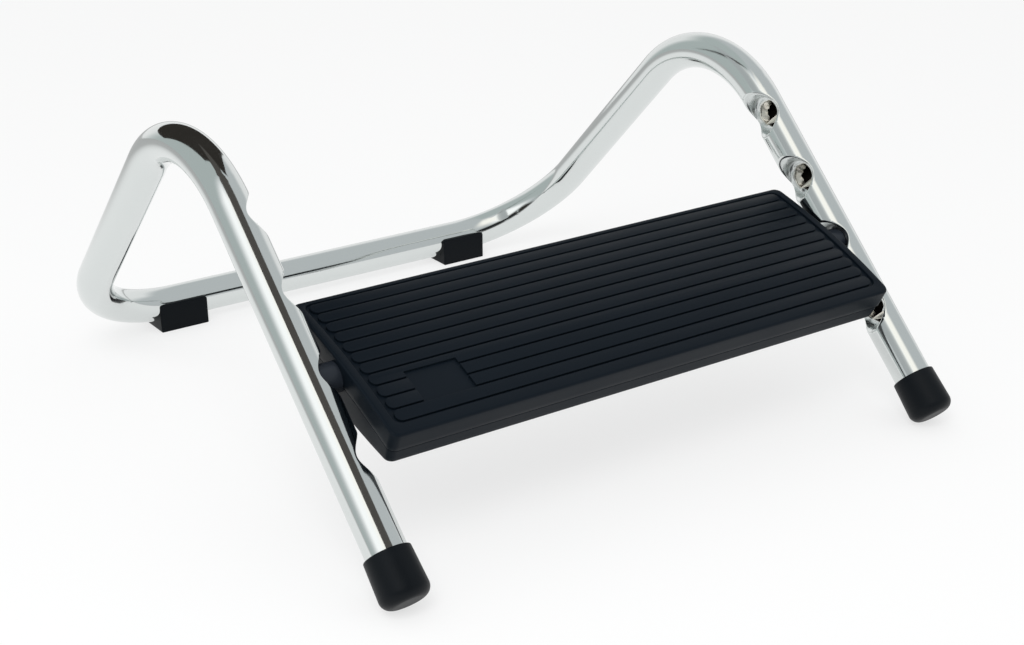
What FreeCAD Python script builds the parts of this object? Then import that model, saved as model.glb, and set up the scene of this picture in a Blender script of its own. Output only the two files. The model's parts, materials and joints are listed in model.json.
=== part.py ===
import FreeCAD, Part
import math
import os

# A footrest: a bent tube frame that stands on two tips and two glides, and a ribbed tread that
# tilts on two pivot plugs. Each plug turns in a socket pressed into the frame's front leg.
# Lengths are in millimetres and angles in degrees. X runs across the footrest, Y from its front
# to its back and Z up. The sizes of the frame are measured from the point of the floor where
# the centre lines of the front legs end, and the finished pieces are moved so that the origin
# lies on the floor in the middle of the footprint.

Vector = FreeCAD.Vector
ACROSS = Vector(1, 0, 0)
BACK = Vector(0, 1, 0)
UP = Vector(0, 0, 1)

# Small values that serve the cuts and the search for edges
overrun = 1.0
same_place_share = 0.000001
same_rim_share = 0.01

# Frame: one steel tube with four bends, made here as two halves that meet in the rear bar
tube_radius = 11.0
tube_wall = 1.5
leg_spacing = 359.8
front_leg_angle = 43.53
rear_leg_angle = 45.2
crown_height = 208.53
bar_height = 14.7
crown_bend_radius = 72.8
corner_bend_radius = 69.7

# Sockets: dishes pressed into the inner side of the front legs, each pierced by a collared hole
socket_count = 4
socket_first = 84.0
socket_pitch = 46.0
socket_mouth_radius = 13.3
socket_draft_angle = 18.0
socket_depth = 9.5
pin_hole_radius = 7.0
collar_length = 3.5
tear_reach = 13.5
tear_width = 8.0

# Tips: rubber ferrules on the ends of the front legs
tip_radius = 13.2
tip_rim_radius = 12.5
tip_corner_radius = 5.8
tip_rim_rounding = 0.7
tip_length = 26.1
tip_floor = 4.5
tip_fit = 0.05
tip_ring_radius = 5.0
tip_ring_width = 1.6
tip_ring_depth = 0.8

# Glides: saddles clipped under the rear bar
glide_spacing = 220.0
glide_length = 33.5
glide_wall = 2.2
glide_wrap = 4.1
glide_foot = 22.0
glide_fit = 0.05
glide_corner_rounding = 1.4

# Tread: two shells that meet at a parting surface, level with the pivot axis in their middle
tread_socket = 1
tread_tilt = 19.4
tread_side_gap = 2.2
tread_front_reach = 56.8
tread_rear_reach = 48.2
tread_top_radius = 453.3
tread_top_height = 11.84
tread_corner_radius = 6.0
tread_end_draft_angle = 2.5
tread_edge_rounding = 2.6
cover_skirt = 12.0
cover_wall = 2.8
belly_radius = 242.0
belly_depth = 17.6
belly_rounding = 4.5
base_step = 0.6
base_wall = 2.8
lip_thickness = 1.5
lip_height = 2.5
lip_fit = 0.15
stiffener_thickness = 2.0
stiffener_gap = 0.3
stiffener_pitch = 65.0

# Field of raised strips on the tread
strip_count = 11
strip_pitch = 8.51
strip_gap = 1.3
strip_front_line = 49.3
strip_end_margin = 7.3
strip_end_gap = 2.3
strip_rounding_share = 0.92
groove_depth = 1.3
pad_near_end = 109.7
pad_far_end = 140.3
pad_front = 39.5
pad_rear = 19.6

# Pivot plugs: clamped between the two shells, with a pin that turns in the socket's hole
plug_radius = 8.2
plug_rounding = 1.1
plug_fit = 0.05
plug_inner_length = 17.0
plug_end_play = 0.4
flange_radius = 10.2
flange_thickness = 2.4
flange_play = 0.1
saddle_distance = 12.0
pin_clearance = 0.06
pin_tip_rounding = 1.0
pin_overhang = 0.8

# Screws: they hold the base to the cover from below
screw_spacing = 130.0
screw_front_row = 30.0
screw_rear_row = 25.0
screw_radius = 1.5
screw_length = 14.0
screw_head_radius = 3.0
screw_head_height = 2.0
screw_head_rounding = 0.9
screw_seat_drop = 6.5
screw_fit = 0.05
head_well_fit = 0.6
post_radius = 5.6


def sine(angle):
    return math.sin(math.radians(angle))


def cosine(angle):
    return math.cos(math.radians(angle))


def tangent(angle):
    return math.tan(math.radians(angle))


# Places worked out from the sizes above, seen from the side
leg_direction = Vector(0, cosine(front_leg_angle), sine(front_leg_angle))
crown_y = crown_height / tangent(front_leg_angle)
bar_y = crown_y + (crown_height - bar_height) / tangent(rear_leg_angle)
side_x = leg_spacing / 2
inner_face_x = side_x - tube_radius
tread_half_length = inner_face_x - tread_side_gap
strip_half_length = tread_half_length - strip_end_margin
tip_core_radius = tip_radius - tip_corner_radius
tip_corner_lift = (tip_core_radius * cosine(front_leg_angle) + tip_corner_radius) / sine(front_leg_angle)
tip_start = tip_corner_lift - tip_corner_radius
tube_start = tip_start + tip_floor
collar_end = socket_depth + collar_length
pin_radius = pin_hole_radius - pin_clearance
front_reach = (tip_corner_lift * cosine(front_leg_angle)
               - tip_core_radius * sine(front_leg_angle) - tip_corner_radius)
rear_reach = bar_y + tube_radius + glide_wall
footprint_middle = (front_reach + rear_reach) / 2


def socket_centre(index):
    """Where a socket's axis crosses the leg's centre line, for the leg at X zero."""
    return leg_direction * (socket_first + socket_pitch * index)


pivot = socket_centre(tread_socket)


def unit(vector):
    return vector / vector.Length


def revolved(points, origin, axis, outward):
    """A solid of revolution from a closed outline of (distance along the axis, radius)."""
    corners = [origin + axis * along + outward * radius for along, radius in points]
    face = Part.Face(Part.makePolygon(corners + corners[:1]))
    return face.revolve(origin, axis, 360)


def circles(shape, radius, place=None):
    """The full circles of one radius on a solid, all of them or those around one point."""
    found = []
    for edge in shape.Edges:
        if not isinstance(edge.Curve, Part.Circle):
            continue
        if abs(edge.Curve.Radius - radius) > radius * same_place_share:
            continue
        if place is None or (edge.Curve.Center - place).Length < radius * same_place_share:
            found.append(edge)
    return found


def bent_rod(corners, bend_radii, radius):
    """A round rod along straight runs that are joined by tangent bends."""
    pieces = []
    start = corners[0]
    for before, corner, after, bend in zip(corners, corners[1:], corners[2:], bend_radii):
        arriving = unit(corner - before)
        leaving = unit(after - corner)
        turn = arriving.getAngle(leaving)
        reach = bend * math.tan(turn / 2)
        bend_start = corner - arriving * reach
        normal = unit(arriving.cross(leaving))
        centre = bend_start + normal.cross(arriving) * bend
        pieces.append(Part.makeCylinder(radius, (bend_start - start).Length, start, arriving))
        disc = Part.Face(Part.Wire(Part.makeCircle(radius, bend_start, arriving)))
        pieces.append(disc.revolve(centre, normal, math.degrees(turn)))
        start = corner + leaving * reach
    last_run = corners[-1] - start
    pieces.append(Part.makeCylinder(radius, last_run.Length, start, last_run))
    return pieces[0].multiFuse(pieces[1:]).removeSplitter()


def side_rod(radius, extra_length):
    """The right half of the frame as a solid rod, its two ends longer by extra_length."""
    side = ACROSS * side_x
    foot = leg_direction * (tube_start - extra_length) + side
    crown = Vector(0, crown_y, crown_height) + side
    corner = Vector(0, bar_y, bar_height) + side
    middle = Vector(-extra_length, bar_y, bar_height)
    return bent_rod([foot, crown, corner, middle], [crown_bend_radius, corner_bend_radius], radius)


def socket_tool(index, wall):
    """The hollow of a socket in the right leg, or with a wall the metal that surrounds it."""
    origin = socket_centre(index) + ACROSS * inner_face_x
    slope = tangent(socket_draft_angle)
    mouth = socket_mouth_radius + wall / cosine(socket_draft_angle)
    floor = socket_depth + wall
    hole = pin_hole_radius + wall
    end = collar_end if wall else collar_end + overrun
    outline = [
        (-overrun, 0),
        (-overrun, mouth + overrun * slope),
        (floor, mouth - floor * slope),
        (floor, hole),
        (end, hole),
        (end, 0),
    ]
    return revolved(outline, origin, ACROSS, BACK)


def tear_tool(index):
    """The narrow tear at the lower side of a socket, where the pierced metal split."""
    centre = socket_centre(index) + ACROSS * (inner_face_x - overrun)
    sideways = leg_direction.cross(ACROSS)
    half_width = tear_width / 2
    chord = math.sqrt(pin_hole_radius ** 2 - half_width ** 2)
    tip = centre - leg_direction * tear_reach
    left = centre - leg_direction * chord + sideways * half_width
    right = centre - leg_direction * chord - sideways * half_width
    face = Part.Face(Part.makePolygon([tip, left, right, tip]))
    return face.extrude(ACROSS * (collar_end + overrun * 2))


def mirrored(shape):
    return shape.mirror(Vector(0, 0, 0), ACROSS)


def both_sides(shapes):
    return shapes + [mirrored(shape) for shape in shapes]


def frame_tube():
    """The right half of the bent tube with its sockets. It ends in the middle of the rear bar."""
    outside = side_rod(tube_radius, 0)
    inside = side_rod(tube_radius - tube_wall, overrun)
    sockets = range(socket_count)
    linings = [socket_tool(index, tube_wall).common(outside) for index in sockets]
    hollows = [socket_tool(index, 0) for index in sockets]
    tears = [tear_tool(index) for index in sockets]
    return outside.cut(inside).multiFuse(linings).cut(hollows + tears)


def tip():
    """The rubber tip of the right leg, closed at its foot and grooved underneath."""
    origin = ACROSS * side_x
    outward = leg_direction.cross(ACROSS)
    bore = tube_radius + tip_fit
    rim = tip_start + tip_length
    outline = [
        (tip_start, 0),
        (tip_start, tip_radius),
        (rim, tip_rim_radius),
        (rim, bore),
        (tube_start, bore),
        (tube_start, 0),
    ]
    body = revolved(outline, origin, leg_direction, outward)
    foot_edges = circles(body, tip_radius)
    body = body.makeFillet(tip_corner_radius, foot_edges)
    body = body.makeFillet(tip_rim_rounding, circles(body, tip_rim_radius))
    foot = origin + leg_direction * (tip_start - overrun)
    ring_depth = tip_ring_depth + overrun
    ring = Part.makeCylinder(tip_ring_radius, ring_depth, foot, leg_direction)
    core = Part.makeCylinder(tip_ring_radius - tip_ring_width, ring_depth, foot, leg_direction)
    return body.cut(ring.cut(core))


def glide():
    """The saddle under the right end of the rear bar."""
    start = Vector((glide_spacing - glide_length) / 2, bar_y, bar_height)
    front = -(tube_radius + glide_wall)
    rear = -front
    foot_end = front + glide_foot
    rise = rear - foot_end
    heel = foot_end + rise * sine(45)
    heel_lift = rise * (1 - cosine(45))

    def at(along, height):
        return start + Vector(0, along, height)

    edges = [
        Part.LineSegment(at(front, glide_wrap), at(front, -bar_height)),
        Part.LineSegment(at(front, -bar_height), at(foot_end, -bar_height)),
        Part.Arc(at(foot_end, -bar_height), at(heel, heel_lift - bar_height), at(rear, rise - bar_height)),
        Part.LineSegment(at(rear, rise - bar_height), at(rear, glide_wrap)),
        Part.LineSegment(at(rear, glide_wrap), at(front, glide_wrap)),
    ]
    outline = Part.Wire([edge.toShape() for edge in edges])
    block = Part.Face(outline).extrude(ACROSS * glide_length)
    end_edges = []
    for edge in block.Edges:
        middle = edge.CenterOfMass
        at_top = abs(middle.z - start.z - glide_wrap) < glide_wall * same_place_share
        at_end = abs(edge.BoundBox.XLength) < glide_wall * same_place_share
        if at_top and at_end:
            end_edges.append(edge)
    saddle = block.makeFillet(glide_corner_rounding, end_edges)
    return saddle.cut(side_rod(tube_radius + glide_fit, 0))


def top_cylinder(inset):
    """A cylinder about the tread's crown centre, inset below the tread's surface, seam down."""
    centre = Vector(-leg_spacing, 0, tread_top_height - tread_top_radius)
    cylinder = Part.makeCylinder(tread_top_radius - inset, leg_spacing * 2, centre, ACROSS)
    cylinder.rotate(centre, ACROSS, 180)
    return cylinder


def belly_cylinder(inset):
    centre = Vector(-leg_spacing, 0, belly_radius - belly_depth)
    return Part.makeCylinder(belly_radius - inset, leg_spacing * 2, centre, ACROSS)


def plan_outline(height, inset):
    """The tread's rounded outline in plan, at one height above the pivot axis."""
    drop = tread_top_height - height
    reach = tread_top_radius - drop
    front = reach * math.tan(tread_front_reach / tread_top_radius) - inset
    rear = reach * math.tan(tread_rear_reach / tread_top_radius) - inset
    end = tread_half_length - drop * tangent(tread_end_draft_angle) - inset
    corner = tread_corner_radius - inset / 2
    near = end - corner
    bow = corner * sine(45)

    def at(across, along):
        return Vector(across, along, height)

    edges = [
        Part.LineSegment(at(-near, -front), at(near, -front)),
        Part.Arc(at(near, -front), at(near + bow, corner - bow - front), at(end, corner - front)),
        Part.LineSegment(at(end, corner - front), at(end, rear - corner)),
        Part.Arc(at(end, rear - corner), at(near + bow, rear - corner + bow), at(near, rear)),
        Part.LineSegment(at(near, rear), at(-near, rear)),
        Part.Arc(at(-near, rear), at(-near - bow, rear - corner + bow), at(-end, rear - corner)),
        Part.LineSegment(at(-end, rear - corner), at(-end, corner - front)),
        Part.Arc(at(-end, corner - front), at(-near - bow, corner - bow - front), at(-near, -front)),
    ]
    return Part.Wire([edge.toShape() for edge in edges])


def tread_hull(inset):
    """The closed outer form of the tread, or the same form set in by a wall."""
    high = plan_outline(tread_top_height + overrun, inset)
    low = plan_outline(-belly_depth - overrun, inset)
    prism = Part.makeLoft([high, low], True, True)
    return prism.common(top_cylinder(inset)).common(belly_cylinder(inset))


def rim_edges(hull, radius, centre_height):
    """The edges where a hull's walls meet the cylinder of one radius about one axis."""
    found = []
    for edge in hull.Edges:
        points = [vertex.Point for vertex in edge.Vertexes]
        points.append(edge.valueAt((edge.FirstParameter + edge.LastParameter) / 2))
        distances = [math.hypot(point.y, point.z - centre_height) for point in points]
        if all(abs(distance - radius) < tread_edge_rounding * same_rim_share for distance in distances):
            found.append(edge)
    return found


def strip_prism(front, rear, half_length, rounding):
    """An upright prism through the tread's surface, with round ends."""
    low = tread_top_height - cover_skirt
    height = cover_skirt + overrun
    box = Part.makeBox(half_length * 2, front - rear, height, Vector(-half_length, -front, low))
    uprights = []
    for edge in box.Edges:
        start, end = [vertex.Point for vertex in edge.Vertexes]
        if abs(start.z - end.z) > height / 2:
            uprights.append(edge)
    return box.makeFillet(rounding, uprights)


def groove_tool():
    """What is cut from the tread's surface: a field with strips left standing, and a bare pad."""
    strip_width = strip_pitch - strip_gap
    field_front = strip_front_line + strip_gap / 2
    field_rear = strip_front_line - strip_pitch * strip_count - strip_gap / 2
    field_half = strip_half_length + strip_end_gap
    end_rounding = strip_width / 2 * strip_rounding_share
    field = strip_prism(field_front, field_rear, field_half, end_rounding + strip_end_gap / 2)
    strips = []
    for index in range(strip_count):
        front = strip_front_line - strip_pitch * index - strip_gap / 2
        strips.append(strip_prism(front, front - strip_width, strip_half_length, end_rounding))
    pad_size = Vector(pad_far_end - pad_near_end, pad_front - pad_rear, cover_skirt + overrun)
    pad_corner = Vector(-pad_far_end, -pad_front, tread_top_height - cover_skirt)
    pad = Part.makeBox(pad_size.x, pad_size.y, pad_size.z, pad_corner)
    cut = field.cut(strips).fuse(pad)
    return cut.cut(top_cylinder(groove_depth))


def stiffeners():
    """Upright webs on both rows of screws and across the tread, with a saddle web at each plug."""
    bottom = -belly_depth - overrun
    height = tread_top_height + belly_depth + overrun * 2
    half = stiffener_thickness / 2
    webs = []
    for row in (-screw_front_row, screw_rear_row):
        corner = Vector(-tread_half_length, row - half, bottom)
        webs.append(Part.makeBox(tread_half_length * 2, stiffener_thickness, height, corner))
    width = tread_front_reach + tread_rear_reach
    places = [0, stiffener_pitch, stiffener_pitch * 2, tread_half_length - saddle_distance]
    for place in places:
        for across in sorted({place, -place}):
            corner = Vector(across - half, -tread_front_reach, bottom)
            webs.append(Part.makeBox(stiffener_thickness, width, height, corner))
    return webs[0].multiFuse(webs[1:])


def screw_places():
    places = []
    for across in (-screw_spacing, 0, screw_spacing):
        for along in (-screw_front_row, screw_rear_row):
            places.append(Vector(across, along, -screw_seat_drop))
    return places


def screw_posts():
    bottom = -belly_depth - overrun
    height = tread_top_height + belly_depth + overrun * 2
    posts = []
    for place in screw_places():
        foot = Vector(place.x, place.y, bottom)
        posts.append(Part.makeCylinder(post_radius, height, foot, UP))
    return posts


def plug(clearance):
    """The right pivot plug about the pivot axis, or with a clearance the room that it needs."""
    wall_face = tread_half_length - cover_wall - tread_top_height * tangent(tread_end_draft_angle)
    flange_end = wall_face - flange_play
    inner_end = tread_half_length - plug_inner_length
    shoulder = inner_face_x + socket_depth - plug_end_play
    pin_end = inner_face_x + collar_end + pin_overhang
    body = plug_radius + clearance
    flange = flange_radius + clearance
    outline = [
        (inner_end - clearance, 0),
        (inner_end - clearance, body),
        (flange_end - flange_thickness - clearance, body),
        (flange_end - flange_thickness - clearance, flange),
        (flange_end + clearance, flange),
        (flange_end + clearance, body),
        (shoulder, body),
        (shoulder, pin_radius),
        (pin_end, pin_radius),
        (pin_end, 0),
    ]
    shape = revolved(outline, Vector(0, 0, 0), ACROSS, UP)
    if clearance:
        return shape
    shoulder_edges = circles(shape, body, ACROSS * shoulder)
    shape = shape.makeFillet(plug_rounding, shoulder_edges)
    return shape.makeFillet(pin_tip_rounding, circles(shape, pin_radius, ACROSS * pin_end))


def screw(place):
    """One screw, its head down, with the underside of its head at the place."""
    head = Part.makeCylinder(screw_head_radius, screw_head_height, place, -UP)
    head_face = place - UP * screw_head_height
    head = head.makeFillet(screw_head_rounding, circles(head, screw_head_radius, head_face))
    shank = Part.makeCylinder(screw_radius, screw_length, place, UP)
    return head.fuse(shank)


def screw_room(place):
    """The well below a screw's head and the hole for its shank."""
    depth = belly_depth + overrun
    well = Part.makeCylinder(screw_head_radius + head_well_fit, depth, place, -UP)
    hole = Part.makeCylinder(screw_radius + screw_fit, screw_length + screw_fit, place, UP)
    return well.fuse(hole)


def rim_lip(clearance):
    """The lip that stands up inside the cover's skirt, or with a clearance the room it needs."""
    inset = cover_wall + lip_fit
    ring = tread_hull(inset - clearance).cut(tread_hull(inset + lip_thickness + clearance))
    ring = ring.common(top_cylinder(cover_skirt - lip_height - clearance))
    return ring.cut(top_cylinder(cover_skirt + lip_height))


def tread_cover():
    """The upper shell: a crowned, grooved top with a skirt all round."""
    shell = tread_hull(0)
    centre_height = tread_top_height - tread_top_radius
    shell = shell.makeFillet(tread_edge_rounding, rim_edges(shell, tread_top_radius, centre_height))
    below = top_cylinder(cover_skirt)
    inside = tread_hull(cover_wall)
    webs = stiffeners().common(inside).cut(top_cylinder(cover_skirt - stiffener_gap))
    posts = [post.common(inside).cut(below) for post in screw_posts()]
    shell = shell.cut(below).cut(inside)
    shell = shell.multiFuse([webs] + posts).cut(groove_tool())
    rooms = [screw_room(place) for place in screw_places()] + [rim_lip(lip_fit)]
    return shell.cut(both_sides([plug(plug_fit)]) + rooms)


def tread_base():
    """The lower shell: a bellied tray with a lip that stands inside the cover's skirt."""
    shell = tread_hull(base_step)
    centre_height = belly_radius - belly_depth
    belly_edges = rim_edges(shell, belly_radius - base_step, centre_height)
    shell = shell.makeFillet(belly_rounding, belly_edges)
    below = top_cylinder(cover_skirt)
    inside = tread_hull(base_step + base_wall)
    webs = stiffeners().common(inside).common(top_cylinder(cover_skirt + stiffener_gap))
    posts = [post.common(inside).common(below) for post in screw_posts()]
    shell = shell.common(below).cut(inside)
    shell = shell.multiFuse([webs, rim_lip(0)] + posts)
    rooms = [screw_room(place) for place in screw_places()]
    return shell.cut(both_sides([plug(plug_fit)]) + rooms)


def on_pivot(shape):
    """Tilts a piece of the tread and carries it from the level pivot axis to its sockets."""
    tilted = shape.copy()
    tilted.rotate(Vector(0, 0, 0), ACROSS, tread_tilt)
    tilted.translate(pivot)
    return tilted


def save(name, shape):
    moved = shape.copy()
    moved.translate(BACK * -footprint_middle)
    moved.exportStep("parts/" + name + ".step")
    solids = len(moved.Solids)
    print(name, "solids", solids, "volume", round(moved.Volume), "valid", moved.isValid())


def main():
    os.makedirs("parts", exist_ok=True)
    save("frame_tube_right", frame_tube())
    save("frame_tube_left", mirrored(frame_tube()))
    save("tip_right", tip())
    save("tip_left", mirrored(tip()))
    save("glide_right", glide())
    save("glide_left", mirrored(glide()))
    save("tread_cover", on_pivot(tread_cover()))
    save("tread_base", on_pivot(tread_base()))
    save("pivot_plug_right", on_pivot(plug(0)))
    save("pivot_plug_left", on_pivot(mirrored(plug(0))))
    screws = Part.makeCompound([screw(place) for place in screw_places()])
    save("tread_screws", on_pivot(screws))


main()
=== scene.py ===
import json
import math

import bmesh
import bpy
from bpy.props import FloatProperty, FloatVectorProperty, IntProperty, PointerProperty
from mathutils import Matrix, Vector, noise


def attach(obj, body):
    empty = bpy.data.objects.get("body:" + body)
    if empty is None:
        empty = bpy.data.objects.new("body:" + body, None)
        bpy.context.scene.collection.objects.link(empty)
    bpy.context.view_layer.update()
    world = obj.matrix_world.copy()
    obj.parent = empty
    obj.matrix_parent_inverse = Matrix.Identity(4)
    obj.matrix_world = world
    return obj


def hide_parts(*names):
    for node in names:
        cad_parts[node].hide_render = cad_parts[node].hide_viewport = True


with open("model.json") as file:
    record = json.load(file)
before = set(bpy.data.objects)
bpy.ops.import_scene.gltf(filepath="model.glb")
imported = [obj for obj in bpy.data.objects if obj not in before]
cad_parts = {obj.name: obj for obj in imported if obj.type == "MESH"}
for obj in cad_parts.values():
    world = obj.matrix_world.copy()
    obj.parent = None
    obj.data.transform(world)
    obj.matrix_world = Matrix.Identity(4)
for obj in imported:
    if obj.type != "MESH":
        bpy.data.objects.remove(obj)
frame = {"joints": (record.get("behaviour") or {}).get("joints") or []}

bl_info = {
    "name": "Tilting Footrest",
    "version": (1, 0, 0),
    "blender": (4, 5, 0),
    "location": "3D View > Sidebar > Footrest",
    "description": "Chromed tube with pressed sockets, rubber tips and a ribbed tread that tilts",
    "category": "Add Mesh",
}

MM = 0.001
TINY = 0.001 * MM
ACROSS = Vector((1, 0, 0))
UP = Vector((0, 0, 1))
HALF_TURN = math.pi
FULL_TURN = math.tau
PIVOT = Vector(frame["joints"][0]["pos_m"])
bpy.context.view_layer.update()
# Edges over these angles are sharp, on pieces made ring by ring and on those that are cut
SHARP_ANGLE = math.radians(38)
CUT_SHARP_ANGLE = math.radians(35)


def linear(hex_colour):
    """An sRGB hex colour as linear red, green and blue."""
    shares = [int(hex_colour[start:start + 2], 16) / 255 for start in (1, 3, 5)]
    return [
        share / 12.92 if share <= 0.04045 else ((share + 0.055) / 1.055) ** 2.4 for share in shares
    ]


def length(name, description, millimetres):
    return FloatProperty(
        name=name, description=description, default=millimetres * MM, unit="LENGTH", precision=5
    )


def angle(name, description, degrees):
    return FloatProperty(
        name=name, description=description, default=math.radians(degrees), unit="ROTATION"
    )


def colour(name, description, hex_colour):
    return FloatVectorProperty(
        name=name, description=description, default=linear(hex_colour), subtype="COLOR",
        min=0, max=1,
    )


class FootrestTubeSizes(bpy.types.PropertyGroup):
    """The bent tube."""

    radius: length("Radius", "Outer radius of the tube", 11.0)
    wall: length("Wall", "Thickness of the tube's wall", 1.5)
    leg_spacing: length("Leg spacing", "Distance between the centre lines of the two sides", 359.8)
    front_angle: angle("Front leg angle", "Slope of the front legs", 43.53)
    rear_angle: angle("Rear leg angle", "Slope of the rear legs", 45.2)
    crown_height: length("Crown height", "Height where the legs' centre lines meet", 208.53)
    bar_height: length("Bar height", "Height of the rear bar's centre line", 14.7)
    crown_bend: length("Crown bend", "Radius of the bend over each side", 72.8)
    corner_bend: length("Corner bend", "Radius of the bend into the rear bar", 69.7)


class FootrestSocketSizes(bpy.types.PropertyGroup):
    """The sockets pressed into the front legs."""

    count: IntProperty(name="Count", description="Sockets in each leg", default=4, min=1)
    used: IntProperty(name="Used", description="The socket that holds the tread", default=1)
    first: length("First", "Distance of the lowest socket from the foot of the leg", 84.0)
    pitch: length("Pitch", "Distance between sockets", 46.0)
    mouth_radius: length("Mouth radius", "Radius of the dish at the leg's inner face", 13.3)
    draft: angle("Draft", "Slope of the dish's wall", 18.0)
    depth: length("Depth", "Depth of the dish's floor", 9.5)
    floor_rounding: length("Floor rounding", "Rounding between wall and floor", 2.0)
    rim_blend: length("Rim blend", "How far the rim of the dish is rolled over", 5.5)
    hole_radius: length("Hole radius", "Radius of the pierced hole", 7.0)
    lip_rounding: length("Lip rounding", "Rounding where the floor turns into the collar", 1.3)
    collar: length("Collar", "Length of the collar drawn down around the hole", 3.5)
    tear_reach: length("Tear reach", "Distance of the tear's tip from the socket's centre", 13.5)
    tear_width: length("Tear width", "Width of the tear where it leaves the hole", 8.0)
    crumple: length("Crumple", "Height of the creases that pressing left in the dish", 0.3)


class FootrestTipSizes(bpy.types.PropertyGroup):
    """The rubber tips."""

    radius: length("Radius", "Radius at the foot", 13.2)
    rim_radius: length("Rim radius", "Radius at the rim", 12.5)
    corner: length("Corner", "Rounding of the foot", 5.8)
    rim_rounding: length("Rim rounding", "Rounding of the rim", 0.7)
    length: length("Length", "Length along the leg", 26.1)
    floor: length("Floor", "Rubber below the tube's end", 4.5)
    fit: length("Fit", "Gap between the tip and the tube", 0.05)


class FootrestGlideSizes(bpy.types.PropertyGroup):
    """The saddles under the rear bar."""

    spacing: length("Spacing", "Distance between the middles of the glides", 220.0)
    length: length("Length", "Length along the bar", 33.5)
    wall: length("Wall", "Thickness in front of and behind the bar", 2.2)
    wrap: length("Wrap", "How far the glide reaches above the bar's centre line", 4.1)
    foot: length("Foot", "Depth of the flat underside", 22.0)
    fit: length("Fit", "Gap between the glide and the tube", 0.05)
    corner: length("Corner", "Rounding of the upper corners", 2.2)
    edge: length("Edge", "Rounding of the other edges", 0.7)


class FootrestTreadSizes(bpy.types.PropertyGroup):
    """The tread's two shells."""

    tilt: angle("Tilt", "How far the front of the tread is tilted down at rest", 19.4)
    side_gap: length("Side gap", "Gap between the tread and the legs", 2.2)
    front: length("Front", "Reach from the pivot to the front edge", 56.8)
    rear: length("Rear", "Reach from the pivot to the rear edge", 48.2)
    crown_radius: length("Crown radius", "Radius of the crowned top", 453.3)
    top_height: length("Top height", "Height of the top above the pivot axis", 11.84)
    corner: length("Corner", "Rounding of the corners in plan", 4.5)
    end_draft: angle("End draft", "Slope of the two ends", 2.5)
    edge: length("Edge", "Rounding of the top edge", 1.5)
    skirt: length("Skirt", "Depth of the cover's skirt", 12.0)
    wall: length("Wall", "Thickness of both shells", 2.8)
    step: length("Step", "How far the base is set in below the cover", 0.6)
    belly_radius: length("Belly radius", "Radius of the underside", 400.0)
    belly_depth: length("Belly depth", "Depth of the underside below the pivot axis", 17.6)
    belly_rounding: length("Belly rounding", "Rounding of the lower edge", 2.2)
    seam: length("Seam", "Small rounding on both sides of the parting line", 0.3)
    seam_gap: length("Seam gap", "Height of the shadow gap at the parting line", 0.9)
    seam_depth: length("Seam depth", "Depth of the shadow gap at the parting line", 1.7)


class FootrestStripSizes(bpy.types.PropertyGroup):
    """The raised strips on the tread."""

    count: IntProperty(name="Count", description="Number of strips", default=11, min=1)
    pitch: length("Pitch", "Distance between strips", 8.51)
    gap: length("Gap", "Width of the groove between two strips", 1.3)
    front_line: length("Front line", "Middle of the groove in front of the first strip", 49.3)
    end_margin: length("End margin", "Distance from a strip's end to the tread's end", 7.3)
    end_gap: length("End gap", "Width of the groove around the strips' ends", 2.3)
    depth: length("Depth", "Depth of the grooves", 1.3)
    edge: length("Edge", "Rounding of the strips' upper edges", 0.4)
    pad_near: length("Pad near", "Near end of the bare pad, from the middle", 109.7)
    pad_far: length("Pad far", "Far end of the bare pad, from the middle", 140.3)
    pad_front: length("Pad front", "Front of the bare pad", 40.7)
    pad_rear: length("Pad rear", "Rear of the bare pad", 19.6)


class FootrestPlugSizes(bpy.types.PropertyGroup):
    """The pivot plugs."""

    radius: length("Radius", "Radius of the plug's body", 8.2)
    rounding: length("Rounding", "Rounding of the shoulder", 1.1)
    inner_length: length("Inner length", "How far the plug reaches into the tread", 17.0)
    end_play: length("End play", "Gap between the shoulder and the socket's floor", 0.4)
    pin_clearance: length("Pin clearance", "Gap around the pin", 0.06)
    pin_overhang: length("Pin overhang", "How far the pin stands out behind the collar", 0.8)
    pin_rounding: length("Pin rounding", "Rounding of the pin's end", 1.0)


class FootrestScrewSizes(bpy.types.PropertyGroup):
    """The screws under the tread."""

    spacing: length("Spacing", "Distance between screws across the tread", 130.0)
    front_row: length("Front row", "Distance of the front row from the pivot", 30.0)
    rear_row: length("Rear row", "Distance of the rear row from the pivot", 25.0)
    radius: length("Radius", "Radius of the shank", 1.5)
    length: length("Length", "Length of the shank", 14.0)
    head_radius: length("Head radius", "Radius of the head", 3.0)
    head_height: length("Head height", "Height of the head", 2.0)
    cross_width: length("Cross width", "Width of the recess's arms", 0.9)
    cross_reach: length("Cross reach", "Length of the recess's arms", 1.7)
    cross_depth: length("Cross depth", "Depth of the recess", 1.2)
    seat_drop: length("Seat drop", "Depth of the seat below the pivot axis", 6.5)
    well_radius: length("Well radius", "Radius of the well below a head", 3.6)
    post_radius: length("Post radius", "Radius of the post around a well", 5.6)


class FootrestFinishes(bpy.types.PropertyGroup):
    """The colours of the surfaces and of the stage."""

    chrome: colour("Chrome", "Chrome plate on the tube", "#dadedd")
    nickel: colour("Nickel", "Nickel under thin chrome in the sockets", "#e6e2d7")
    # bare steel, darkened well past its own grey as painted shade inside the tube
    bare: colour("Bare steel", "Unplated steel inside the tube", "#2b2724")
    rubber: colour("Rubber", "Moulded rubber of the tips", "#0f1317")
    glide: colour("Glide", "Polypropylene of the glides", "#0d1115")
    tread: colour("Tread", "Moulded ABS of the tread", "#10171e")
    plug: colour("Plug", "Moulded acetal of the plugs", "#242930")
    zinc: colour("Zinc", "Zinc plate on the screws", "#a9adb0")
    floor: colour("Floor", "The floor of the stage", "#f4f5f5")


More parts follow.
